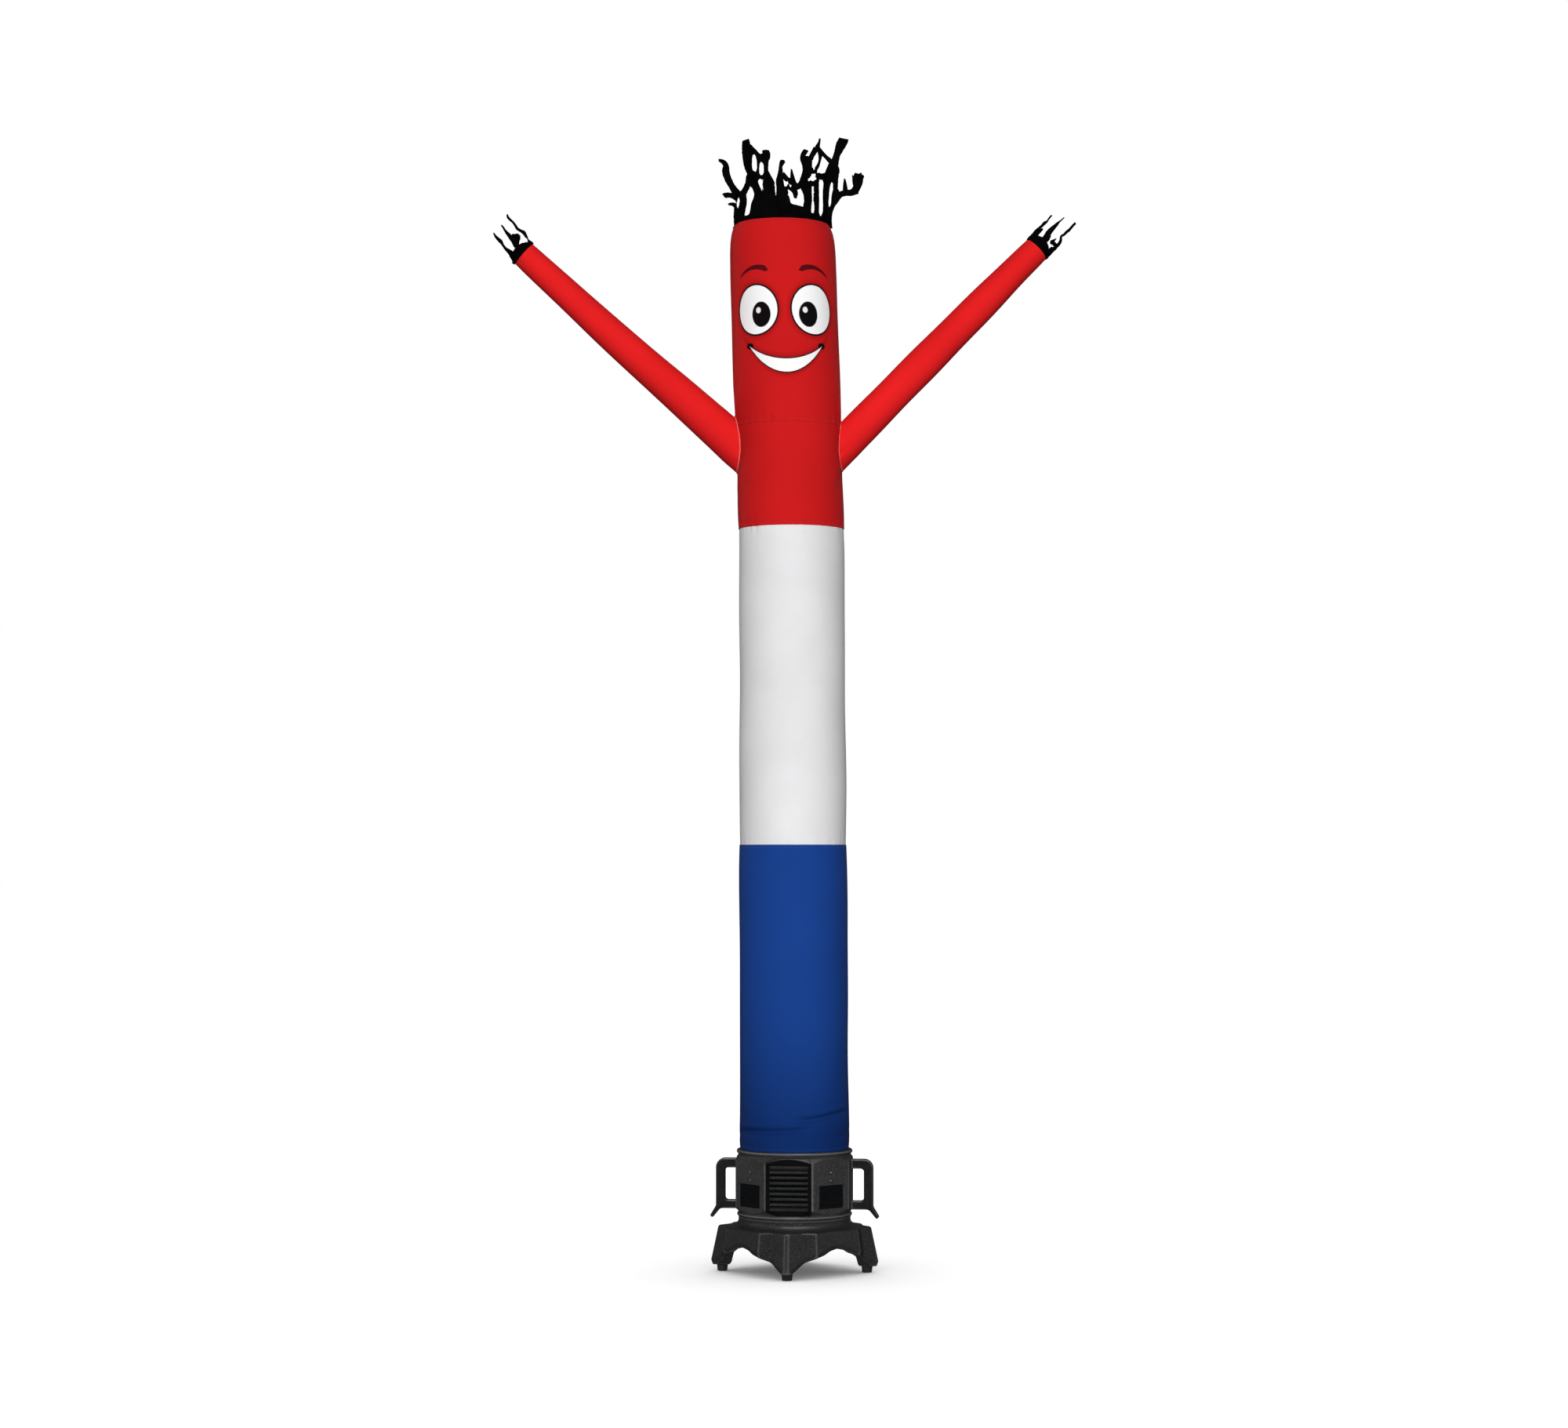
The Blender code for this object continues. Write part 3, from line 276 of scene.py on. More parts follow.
class Shade:
    """A Principled material, and short calls that add nodes to it."""

    def __init__(self, name, **constants):
        self.material = bpy.data.materials.new(name)
        self.material.use_nodes = True
        self.tree = self.material.node_tree
        self.shader = self.tree.nodes["Principled BSDF"]
        self.feed(self.shader, {key.replace("_", " "): value for key, value in constants.items()})

    @cached_property
    def place(self):
        return self.add("TexCoord", {}, "Object")

    def feed(self, node, inputs):
        """Links or sets a node's inputs, by name or number."""
        for key, value in inputs.items():
            socket = node.inputs[key]
            if isinstance(value, Value):
                self.tree.links.new(value.socket, socket)
            else:
                socket.default_value = (*value, 1.0) if socket.type == "RGBA" else value

    def add(self, kind, inputs, output=0, **settings):
        node = self.tree.nodes.new("ShaderNode" + kind)
        for key, value in settings.items():
            setattr(node, key, value)
        self.feed(node, inputs)
        return Value(self, node.outputs[output])

    def math(self, operation, *values):
        return self.add("Math", dict(enumerate(values)), operation=operation)

    def noise(self, scale, detail=3.0, stretch=(1, 1, 1)):
        place = self.add("Mapping", {"Scale": stretch, "Vector": self.place})
        return self.add("TexNoise", {"Scale": scale, "Detail": detail, "Vector": place}, "Fac")

    def mix(self, share, one, other):
        return self.add("Mix", {0: share, 6: one, 7: other}, 2, data_type="RGBA")

    def bump(self, height, distance, strength, below=None):
        inputs = {"Distance": distance, "Strength": strength, "Height": height}
        return self.add("Bump", {**inputs, "Normal": below} if below else inputs)

    def split(self, vector):
        node = self.tree.nodes.new("ShaderNodeSeparateXYZ")
        self.feed(node, {0: vector})
        return [Value(self, output) for output in node.outputs]

    def uv(self):
        """The cloth's own flat coordinates in metres: across from the front, and up."""
        return self.split(self.add("UVMap", {}, uv_map="flat"))[:2]

    def done(self, colour, normal, roughness):
        self.feed(self.shader, {"Base Color": colour, "Normal": normal, "Roughness": roughness})
        return self.material


def shaded(colour, factor):
    return tuple(channel * factor for channel in colour)


def cloth_shade(name):
    return Shade(name, Specular_IOR_Level=0.02, Sheen_Weight=0.004, Sheen_Roughness=0.45)


def cloth_colour(s, colour, painted_hem_shade=1.0):
    """Slightly cloudy dye, threads a little lighter or darker than each other, and painted shade that darkens
    the cloth towards its lower edge.
    """
    base = s.mix(s.noise(5.0, 4.0).ramp(0.3, 0.7), shaded(colour, 0.95), shaded(colour, 1.05))
    fine = s.noise(900.0, 2.0, stretch=(1, 1, 0.15)).ramp(0.3, 0.7)
    base = s.mix(fine * 0.10, base, shaded(colour, 1.5))
    # Painted shade: the colour darkens towards the bottom of the tube.
    if painted_hem_shade < 1.0:
        base = s.mix(s.split(s.place)[2].ramp(0.82, 0.40) ** 1.5, base, shaded(colour, painted_hem_shade))
    return base


def cloth_normal(s):
    """A plain weave of 0.45 mm threads over fine creasing."""
    across, along = (s.math("SINE", way * (math.tau / 0.0009)) for way in s.uv())
    return s.bump(across * along, 0.00003, 0.5, s.bump(s.noise(34.0, 6.0, stretch=(1, 1, 0.6)), 0.0011, 0.30))


def cloth(name, colour, painted_hem_shade=1.0):
    s = cloth_shade(name)
    return s.done(cloth_colour(s, colour, painted_hem_shade), cloth_normal(s), s.noise(60.0).ramp(0.3, 0.7, 0.47, 0.59))


EYE = (0.0860, 2.7375, 0.0650, 0.0690)  # middle and half-sizes, on the flat cloth
MOUTH = (0.110, 2.6340, 0.038, 0.074)  # half-width, height of its corners, and dip of both its edges
BROW = (0.084, 0.058, 2.836, 0.022)  # middle, half-width, height and rise
INK = (0.006, 0.004, 0.005)


def face_print(name, colour):
    """The head's cloth with a plain smiling face printed on it. Each shape is how far inside it a point is."""
    s = cloth_shade(name)
    u, v = s.uv()
    side = abs(u)

    def oval(across, middle_u, middle_v, half_u, half_v):
        x, y = (across - middle_u) / half_u, (v - middle_v) / half_v
        return (1.0 - s.math("SQRT", x * x + y * y)) * min(half_u, half_v)

    def bow(middle_u, half, base, rise):
        x = (side - middle_u) / half
        return base + rise - x * x * rise

    eye_u, eye_v = EYE[:2]
    corner_u, corner_v, upper, lower = MOUTH
    eye = oval(side, *EYE)
    pupil = oval(side, eye_u - 0.016, eye_v - 0.014, 0.0290, 0.0360)
    glints = [oval(u, middle, eye_v - 0.002, 0.0075, 0.0085) for middle in (eye_u - 0.026, 0.008 - eye_u)]
    brow_half = (0.054 - abs(side - 0.096)).ramp(0.0, 0.012) * side.ramp(0.050, 0.150, 0.0100, 0.0042) - 0.0014
    brow = brow_half - abs(v - bow(*BROW))
    upper_lip, lower_lip = bow(0.0, corner_u, corner_v, -upper), bow(0.0, corner_u, corner_v - 0.001, -lower)
    mouth = worked_out_by("MINIMUM")(upper_lip - v, v - lower_lip)
    rim = largest(mouth, oval(side, corner_u + 0.001, corner_v + 0.002, 0.0075, 0.0050))
    features = largest(eye, mouth)
    base = s.mix(features.ramp(-0.020, 0.002, 0.0, 0.60), cloth_colour(s, colour), shaded(colour, 0.30))
    for edge, ink in (
        (eye + 0.0048, INK), (eye, (0.92, 0.92, 0.92)), (pupil, INK), (largest(*glints), (0.80, 0.80, 0.80)),
        (brow, (0.085, 0.005, 0.008)), (rim + 0.0036, INK), (mouth, (0.92, 0.91, 0.90)),
    ):
        base = s.mix(edge.ramp(-0.0010, 0.0010), base, ink)
    return s.done(base, cloth_normal(s), features.ramp(-0.0010, 0.0010).ramp(0.0, 1.0, 0.53, 0.44))


def black_rag(name):
    """Thin black cloth with a dull shine on its folds."""
    s = Shade(name, Specular_IOR_Level=0.02)
    tone = s.noise(30.0, 4.0).ramp(0.3, 0.7)
    weave = s.bump(s.noise(1400.0, 2.0), 0.00006, 0.5, s.bump(s.noise(45.0, 5.0), 0.0012, 0.5))
    colour = s.mix(tone, (0.0014, 0.0014, 0.0014), (0.0032, 0.0030, 0.0031))
    return s.done(colour, weave, tone.ramp(0.0, 1.0, 0.80, 0.92))


def moulded(name, colour, specular, painted_highlight_tone, housing=False):
    """Black moulded plastic: a pebble grain, with edges painted lighter as a highlight and made smoother.

    The housing also has highlight lines painted along its two crests, and the field behind its vent is darker.
    """
    s = Shade(name, Specular_IOR_Level=specular)
    cells = s.add("TexVoronoi", {"Scale": 480.0, "Vector": s.place}, "Distance", feature="SMOOTH_F1")
    pebble = s.noise(290.0, 2.0)
    grain = s.bump(pebble, 0.0008, 0.7, s.bump(s.noise(26.0), 0.0012, 0.25))
    edge = s.add("NewGeometry", {}, "Pointiness").ramp(0.521, 0.535)
    # Painted highlight: the sharper edges are made lighter in colour, and smoother.
    painted_highlight_and_wear = edge * s.noise(120.0, 4.0).ramp(0.25, 0.6, 0.45, 1.0)
    patch = s.noise(9.0, 5.0).ramp(0.35, 0.7)
    base = s.mix(patch, shaded(colour, 0.75), shaded(colour, 1.15))
    base = s.mix(cells.ramp(0.10, 0.62, 1.0, 0.0) * 0.6, base, shaded(colour, 2.4))
    base = s.mix(pebble.ramp(0.50, 0.74, 0.0, 0.7), base, shaded(colour, 4.2))
    x, y, z = s.split(s.place)
    if housing:
        # Painted highlight lines along the rim's and the lip's crests.
        for height, strength in ((0.3492, 0.9), (0.1690, 0.8)):
            painted_highlight_and_wear = largest(painted_highlight_and_wear, abs(z - height).ramp(0.0026, 0.0010, 0.0, strength))
    # The edges take the tone of the painted highlight.
    base = s.mix(painted_highlight_and_wear, base, (painted_highlight_tone, painted_highlight_tone, painted_highlight_tone))
    if housing:
        inlay = abs(x - (BLOWER_X - 0.018)).ramp(0.0660, 0.0640) * y.ramp(-0.148, -0.152)
        base = s.mix(inlay * abs(z - 0.2560).ramp(0.0845, 0.0790), base, shaded(colour, 0.10))
    rough = patch.ramp(0.0, 1.0, 0.34, 0.43) - painted_highlight_and_wear * 0.08
    return s.done(base, s.bump(cells, 0.00045, 0.8, grain), rough)


def plain_plate(name):
    """The blank dark plates: smoother than the housing, with faint scuffs."""
    s = Shade(name, Specular_IOR_Level=0.06)
    scuff = s.noise(240.0, stretch=(0.12, 0.12, 1.0)).ramp(0.55, 0.75)
    colour = s.mix(scuff, (0.0036, 0.0046, 0.0052), (0.0062, 0.0070, 0.0076))
    return s.done(colour, s.bump(s.noise(700.0), 0.00005, 0.5), scuff.ramp(0.0, 1.0, 0.24, 0.38))


def rubber(name):
    s = Shade(name, Specular_IOR_Level=0.35)
    speck = s.noise(500.0).ramp(0.45, 0.75)
    colour = s.mix(speck, (0.010, 0.010, 0.010), (0.018, 0.018, 0.018))
    colour = s.mix(s.noise(40.0, 4.0).ramp(0.45, 0.8, 0.0, 0.5), colour, (0.045, 0.043, 0.040))
    return s.done(colour, s.bump(s.noise(900.0), 0.0001, 0.5), speck.ramp(0.0, 1.0, 0.72, 0.85))


def steel(name):
    s = Shade(name, Metallic=1.0)
    brushed = s.noise(1500.0, 2.0, stretch=(1, 1, 0.08))
    colour = s.mix(s.noise(260.0).ramp(0.4, 0.75), (0.20, 0.20, 0.205), (0.07, 0.068, 0.066))
    return s.done(colour, s.bump(brushed, 0.00004, 0.6), brushed.ramp(0.3, 0.7, 0.26, 0.44))


def thread(name, colour):
    """Sewing thread, twisted, in nearly the colour of its cloth."""
    s = Shade(name, Specular_IOR_Level=0.35, Sheen_Weight=0.15)
    twist = s.noise(2600.0, 2.0)
    tint = s.mix(twist.ramp(0.3, 0.7), shaded(colour, 0.75), shaded(colour, 1.15))
    return s.done(tint, s.bump(twist, 0.0001, 0.6), 0.6)


RED_DYE = (0.545, 0.0115, 0.0125)
MATERIALS = {  # slot and material
    # The blue tube's colour is darkened towards its bottom as painted shade.
    "blue": ("cloth_blue", cloth("cloth_blue", (0.0100, 0.0480, 0.2400), painted_hem_shade=0.52)),
    "white": ("cloth_white", cloth("cloth_white", (0.725, 0.725, 0.735))),
    "red": ("cloth_red", cloth("cloth_red", RED_DYE)),
    # The sleeves' red is a lighter copy of the body's red: painted light.
    "sleeve": ("cloth_red", cloth("cloth_red_sleeve", (0.705, 0.0140, 0.0152))),
    # The raised armhole seam's red is painted lighter as a highlight.
    "welt": ("cloth_red", cloth("cloth_red_welt", (0.84, 0.1500, 0.1350))),
    "face": ("cloth_red", face_print("cloth_red_printed", RED_DYE)),
    "black": ("cloth_black", black_rag("cloth_black")),
    "thread_blue": ("cloth_blue", thread("thread_blue", (0.013, 0.050, 0.24))),
    "thread_white": ("cloth_white", thread("thread_white", (0.70, 0.70, 0.70))),
    "thread_red": ("cloth_red", thread("thread_red", (0.55, 0.013, 0.014))),
    # The sleeves' thread is lighter to match: painted light.
    "thread_sleeves": ("cloth_red", thread("thread_sleeve", (0.70, 0.016, 0.018))),
    # The fourth number of each moulded plastic is the colour of its painted edge highlight.
    "plastic": ("plastic_black", moulded("plastic_black", (0.0205, 0.0205, 0.0210), 0.22, 0.110, True)),
    "grip": ("plastic_black", moulded("plastic_black_grip", (0.0062, 0.0062, 0.0065), 0.30, 0.075)),
    "base": ("plastic_black", moulded("plastic_black_base", (0.0132, 0.0132, 0.0135), 0.13, 0.090)),
    "vent": ("plastic_black", moulded("plastic_black_vent", (0.0007, 0.0010, 0.0012), 0.12, 0.026)),
    "plate": ("plate_black", plain_plate("plate_black")),
    "rubber": ("rubber_black", rubber("rubber_black")),
    "steel": ("steel", steel("steel")),
}


# --- Meshes ---
def linked(name, data):
    obj = bpy.data.objects.new(name, data)
    bpy.context.scene.collection.objects.link(obj)
    return obj


def mesh_from(name, points, faces):
    mesh = bpy.data.meshes.new(name)
    mesh.from_pydata(np.asarray(points).tolist(), [], [[int(corner) for corner in face] for face in faces])
    return mesh


def object_from(name, points, faces, material, node=None, sharp=None, flat=None):
    """A piece that rides on the object's one body. Its edges are sharp over the angle given."""
    mesh = mesh_from(name, points, faces)
    if flat is not None:
        mesh.uv_layers.new(name="flat").data.foreach_set("uv", np.asarray(flat, np.float32).ravel())
    slot, finish = MATERIALS[material]
    mesh.materials.append(finish)
    mesh.shade_smooth()
    if sharp:
        mesh.set_sharp_from_angle(angle=math.radians(sharp))
    piece = linked(name, mesh)
    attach(piece, "root")
    if node:
        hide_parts(node)
    return piece


def grid_faces(rows, columns):
    """Quads of a grid of points, row by row, whose columns close into a ring."""
    row, column = np.indices((rows - 1, columns)) * [[[columns]], [[1]]]
    here, beside = row + column, row + (column + 1) % columns
    return np.stack((here, beside, beside + columns, here + columns), -1).reshape(-1, 4)


def ring_faces(rows, columns):
    """The same for a grid whose rows close too."""
    return grid_faces(rows + 1, columns) % (rows * columns)


def grid_uv(across, up):
    """Flat coordinates for the faces of a grid. Across and up have one column more than the grid."""
    flat = np.stack((across, up), -1)
    return np.stack((flat[:-1, :-1], flat[:-1, 1:], flat[1:, 1:], flat[1:, :-1]), 2).reshape(-1, 2)


def modify(piece, kind, **settings):
    modifier = piece.modifiers.new(kind.lower(), kind)
    for key, value in settings.items():
        setattr(modifier, key, value)


def settle(piece, sharp):
    """Applies the piece's modifiers and marks its sharp edges."""
    graph = bpy.context.evaluated_depsgraph_get()
    mesh = bpy.data.meshes.new_from_object(piece.evaluated_get(graph), depsgraph=graph)
    piece.modifiers.clear()
    piece.data = mesh
    mesh.set_sharp_from_angle(angle=math.radians(sharp))


def smooth_step(value):
    value = np.clip(value, 0.0, 1.0)
    return value * value * (3.0 - 2.0 * value)


def bell(value, middle, half, power=2):
    return np.exp(-(((value - middle) / half) ** power))


def curve_through(table, at):
    """The second column of a table, on a smooth curve through its rows."""
    x, y = np.array(table).T
    slope = np.gradient(y, x)
    index = np.clip(np.searchsorted(x, at, "right") - 1, 0, len(x) - 2)
    h = np.diff(x)[index]
    t = np.clip((at - x[index]) / h, 0.0, 1.0)
    return (
        y[index] * (1 + 2 * t) * (1 - t) ** 2 + h * slope[index] * t * (1 - t) ** 2
        + y[index + 1] * t * t * (3 - 2 * t) - h * slope[index + 1] * t * t * (1 - t)
    )


def unit(ways):
    return ways / np.linalg.norm(ways, axis=-1)[..., None]


def reach_along(path):
    """How far along its path each point lies."""
    return np.concatenate(([0.0], np.cumsum(np.linalg.norm(np.diff(path, axis=0), axis=1))))


def round_turns(steps):
    """Turns from the back all round to the back again."""
    return np.linspace(-180.0, 180.0, steps + 1)


def wrapped(turn):
    return (turn + 180.0) % 360.0 - 180.0


def polar(radius, turn, z):
    angle = np.radians(turn)
    return np.stack(np.broadcast_arrays(radius * np.sin(angle), -radius * np.cos(angle), z), -1)


# --- The tube ---
def tube_axis_x(z):
    above = np.maximum(0.0, z - LEAN_START)
    return BLOWER_X - LEAN_LOW * (z - HEM_Z) - LEAN_HIGH * above * above / (above + LEAN_EASE)


def folds(turn, z):
    """Depth of soft troughs, each with a low ridge pushed up beside it."""
    depth = np.zeros_like(turn)
    for turn_a, z_a, turn_b, z_b, deepest, half, bow in FOLDS:
        reach_u, reach_v = math.radians(turn_b - turn_a) * TUBE_RADIUS, z_b - z_a
        length = math.hypot(reach_u, reach_v)
        u = np.radians(wrapped(turn - (turn_a + turn_b) / 2)) * TUBE_RADIUS
        v = z - (z_a + z_b) / 2
        share = (u * reach_u + v * reach_v) / length**2 + 0.5
        across = (v * reach_u - u * reach_v) / length - bow * np.sin(np.clip(share, 0, 1) * math.tau)
        fade = smooth_step(np.minimum(share, 1 - share) / FOLD_FADE)
        depth += deepest * fade * (bell(across, 0.0, half) - 0.30 * bell(across, 2.0 * half, half))
    return depth


def uneven(turn, up, seed, count, most, longest, amount):
    """Slow waves: at most so many round the cloth, and so long up it."""
    draw, total = random.Random(seed), 0.0
    for _ in range(count):
        turns, rate, phase = draw.randint(0, most), draw.uniform(-1, 1) / longest, draw.uniform(0, math.tau)
        total = total + np.sin(turns * np.radians(turn) + rate * math.tau * up + phase)
    return total * amount / math.sqrt(count)


def puckers(turn, away, seed, count, reach, depth, narrow=(1.5, 3.2)):
    """Short gathers that run out from a seam. Away is the distance from it."""
    draw = random.Random(seed)
    total = np.zeros_like(turn)
    for _ in range(count):
        at, half = draw.uniform(-180, 180), draw.uniform(*narrow)
        length, deep = draw.uniform(0.35, 1.0) * reach, draw.uniform(0.2, 1.0) * depth
        lean = draw.uniform(-60, 60)
        total += deep * np.exp(-((wrapped(turn - at - lean * away) / half) ** 2) - (away / length) ** 2)
    return total


def tube_relief(turn, z):
    """How far the cloth stands in from its plain round shape. The seam down its back stands out."""
    depth = folds(turn, z) + uneven(turn, z, 11, 12, 5, 0.30, 0.0009)
    for number, seam in enumerate(SEAMS):
        depth += puckers(turn, np.abs(z - seam), 20 + number, 74, 0.030, 0.0009)
    return depth - 0.0006 * bell(wrapped(turn - 180.0), 0.0, 2.0, 4)


def sewn_edge(away, turned, drawn, rows):
    """How far a lapped edge stands in: where it is turned under, and under its rows of stitches."""
    return turned * np.clip(1 - away / 0.0016, 0, 1) ** 2 + drawn * sum(bell(away, row, 0.0012) for row in rows)


def tube_points(profile, turn, z, lift=0.0):
    points = polar(curve_through(profile, z) + lift - tube_relief(turn, z), turn, z)
    points[..., 0] += tube_axis_x(z)
    return points


def cloth_tube(name, points, turn, up, radius, material):
    """A tube of cloth from a grid of points, whose last column repeats the first."""
    rows, columns = turn.shape
    flat = grid_uv(np.radians(turn) * radius, up)
    faces = grid_faces(rows, columns - 1)
    piece = object_from(name + "_cloth", points[:, :-1].reshape(-1, 3), faces, material, name, flat=flat)
    modify(piece, "SOLIDIFY", thickness=CLOTH, offset=-1.0)
    return piece


def panel(name, profile, material, row_step, laps):
    low, high = profile[0][0], profile[-1][0]
    inner = [low + EDGE_ROWS[-1]]
    while inner[-1] < high - EDGE_ROWS[-1]:
        inner.append(inner[-1] + (FINE_STEP if FINE_ROWS[0] < inner[-1] < FINE_ROWS[1] else row_step))
    heights = np.concatenate((low + EDGE_ROWS, inner[1:-2], high - EDGE_ROWS[::-1]))
    turn, z = np.meshgrid(round_turns(TUBE_COLUMNS), heights)
    lift = np.zeros_like(z)
    for lapped, away in zip(laps, (z - low, high - z)):
        if lapped:
            lift -= sewn_edge(away, 0.0006, 0.00035, STITCH_ROWS)
    return cloth_tube(name, tube_points(profile, turn, z, lift), turn, z, TUBE_RADIUS, material)


# --- Sleeves ---
class Sleeve:
    """A tapered tube of cloth from its root in the chest to its open end. Away is how far from the root."""

    columns = 112
    flat_radius = 0.047  # for the weave
    seam_half = 3.0  # how many degrees the rows of stitches lie beside the seam
    welt_out, welt_aside = 0.0021, 0.0016  # half the height and half the width of the armhole's raised seam

    def __init__(self, side, root, end, wide, narrow, flare, sag, bulge, seed, underside):
        self.side, self.root, self.seed, self.underside = side, np.array(root), seed, underside
        self.wide, self.narrow, self.flare, self.sag, self.bulge = wide, narrow, flare, sag, bulge
        reach = np.array(end) - self.root
        self.length = np.linalg.norm(reach)
        self.along = reach / self.length
        self.front = unit(np.array((0.0, -1.0, 0.0)) + self.along * self.along[1])
        self.across = np.cross(self.along, self.front)

    def centre(self, away):
        centre = self.root + self.along * away[..., None]
        centre[..., 2] -= self.sag * np.sin(math.pi * np.maximum(0.0, away) / self.length)
        return centre

    def points(self, turn, away, lift=0.0):
        share = np.maximum(0.0, away) / self.length
        radius = self.wide + (self.narrow - self.wide) * share + self.flare * np.exp(-share / 0.08)
        radius = (radius + self.bulge * np.sin(math.pi * share) + lift)[..., None]
        angle = np.radians(turn)[..., None]
        return self.centre(away) + radius * (self.front * np.cos(angle) + self.across * np.sin(angle))

    def start(self, turn, depth=CLOTH):
        """How far along the sleeve each of its columns leaves the tube's wall."""
        low, high = np.full_like(turn, -0.10), np.full_like(turn, 0.16)
        for _ in range(40):
            middle = (low + high) / 2
            x, y, z = self.points(turn, middle).T
            radius = np.where(z < HEAD_LOW_Z, curve_through(RED, np.minimum(z, 2.41)), curve_through(HEAD, z))
            outside = np.hypot(x - tube_axis_x(z), y) > radius - depth
            low, high = np.where(outside, low, middle), np.where(outside, middle, high)
        return high

    def relief(self, turn, away, start):
        depth = uneven(turn, away, self.seed, 8, 3, 0.22, 0.0007)
        depth += puckers(turn, np.maximum(0.0, away - start), self.seed + 1, 34, 0.050, 0.0013, (4.0, 9.0))
        depth += puckers(turn, self.length - away, self.seed + 2, 26, 0.030, 0.0008, (4.0, 9.0))
        return depth - 0.0005 * bell(wrapped(turn - self.underside), 0.0, 6.0, 4)

    def cloth(self):
        turns = round_turns(self.columns)
        start = self.start(turns)
        edge = EDGE_ROWS / self.length
        inner = np.linspace(EDGE_ROWS[-1], 1.0 - edge[-1], 96)
        turn, share = np.meshgrid(turns, np.concatenate((edge[:-1], inner, 1.0 - edge[-2::-1])))
        away = start + (self.length - start) * share
        lift = -self.relief(turn, away, start) - sewn_edge(self.length - away, 0.0005, 0.0003, STITCH_ROWS[1:])
        points = self.points(turn, away, lift)
        # The sleeve's cloth is a lighter copy of the red: painted light.
        return cloth_tube("arm_" + self.side, points, turn, away, self.flat_radius, "sleeve")

    def cutter(self):
        """The inside of the sleeve as a closed form, to cut its armhole with."""
        rows, columns = 9, 64
        turn, away = np.meshgrid(round_turns(columns)[:-1], np.linspace(-0.10, 0.16, rows))
        last = (rows - 1) * columns
        points = self.points(turn, away, -(CLOTH + 0.0008)).reshape(-1, 3)
        faces = [*grid_faces(rows, columns), range(columns)[::-1], range(last, last + columns)]
        mesh = mesh_from("armhole_" + self.side, points, faces)
        bm = bmesh.new()
        bm.from_mesh(mesh)
        bmesh.ops.recalc_face_normals(bm, faces=bm.faces)
        bm.to_mesh(mesh)
        bm.free()
        return linked(mesh.name, mesh)

    def welt(self):
        """The raised seam where the sleeve is sewn into its armhole: a bead of elliptical section."""
        turns = round_turns(160)[:-1]
        start = self.start(turns, -0.0004)
        path = self.points(turns, start, -0.0002)
        tangent = unit(np.roll(path, -1, 0) - np.roll(path, 1, 0))
        outward = path - self.points(turns, start - 0.02, -0.02)
        outward = unit(outward - tangent * (outward * tangent).sum(1)[:, None])
        angles = np.linspace(0, math.tau, 9)[:-1, None]
        out, aside = np.cos(angles) * self.welt_out, np.sin(angles) * self.welt_aside
        points = path[:, None] + outward[:, None] * out + np.cross(tangent, outward)[:, None] * aside
        # Its cloth is painted lighter than the red as a highlight.
        object_from("armhole_welt_" + self.side, points.reshape(-1, 3), ring_faces(len(path), 8), "welt")

    def stitch_line(self, turn, start, away):
        lift = -self.relief(turn, away, start)
        path = self.points(turn, away, lift)
        return path, path - self.points(turn, away, lift - 0.02)

    def stitch_lines(self):
        """Two rows along the seam on the underside, one round the open end and one round the root."""
        lines = []
        for turn in (self.underside - self.seam_half, self.underside + self.seam_half):
            start = self.start(np.array([turn]))[0]
            away = np.arange(start + 0.008, self.length - 0.012, 0.004)
            lines.append(self.stitch_line(np.full_like(away, turn), np.full_like(away, start), away))
        turn = round_turns(359)
        start = self.start(turn)
        rings = np.full_like(turn, self.length - STITCH_ROWS[1]), start + 0.0060
        return lines + [self.stitch_line(turn, start, away) for away in rings]

    def end_frame(self):
        """The open end as a frame: +Z along the sleeve and -Y to the front, as the head's is."""
        turn = np.array([0.0, 180.0])
        before, end = (self.points(turn, np.full(2, self.length - back)).mean(0) for back in (0.07, 0.0))
        along = Vector(end - before).normalized()
        across = along.cross(Vector((0.0, -1.0, 0.0))).normalized()
        place = Matrix((across, along.cross(across), along)).transposed().to_4x4()
        place.translation = Vector(end)
        return place

    def covers(self, path, margin=0.004):
        """Which points of a path the sleeve's root hides."""
        away = (path - self.root) @ self.along
        near = np.linalg.norm(path - self.centre(away), axis=1) <= self.wide + self.flare + margin
        return near & (away >= -0.12)


SLEEVES = (
    Sleeve("left", (-0.1350, 0.0, 2.3715), (-0.7410, -0.060, 2.9070), wide=0.0575, narrow=0.0375, flare=0.0035,
           sag=0.0055, bulge=0.0, seed=40, underside=-90.0),
    Sleeve("right", (0.1733, 0.0, 2.3745), (0.7280, 0.065, 2.9430), wide=0.0495, narrow=0.0390, flare=0.0025,
           sag=-0.0010, bulge=0.0035, seed=50, underside=90.0),
)


# --- Sewing ---
SPINDLE = (  # a stitch's points: its two ends and two rings of four. Share of its length, aside and outward
    (0.0, 0, -0.6), *((share, *way) for share in (0.2, 0.8) for way in ((1, 0), (0, 1.1), (-1, 0), (0, -1))),
    (1.0, 0, -0.6),
)


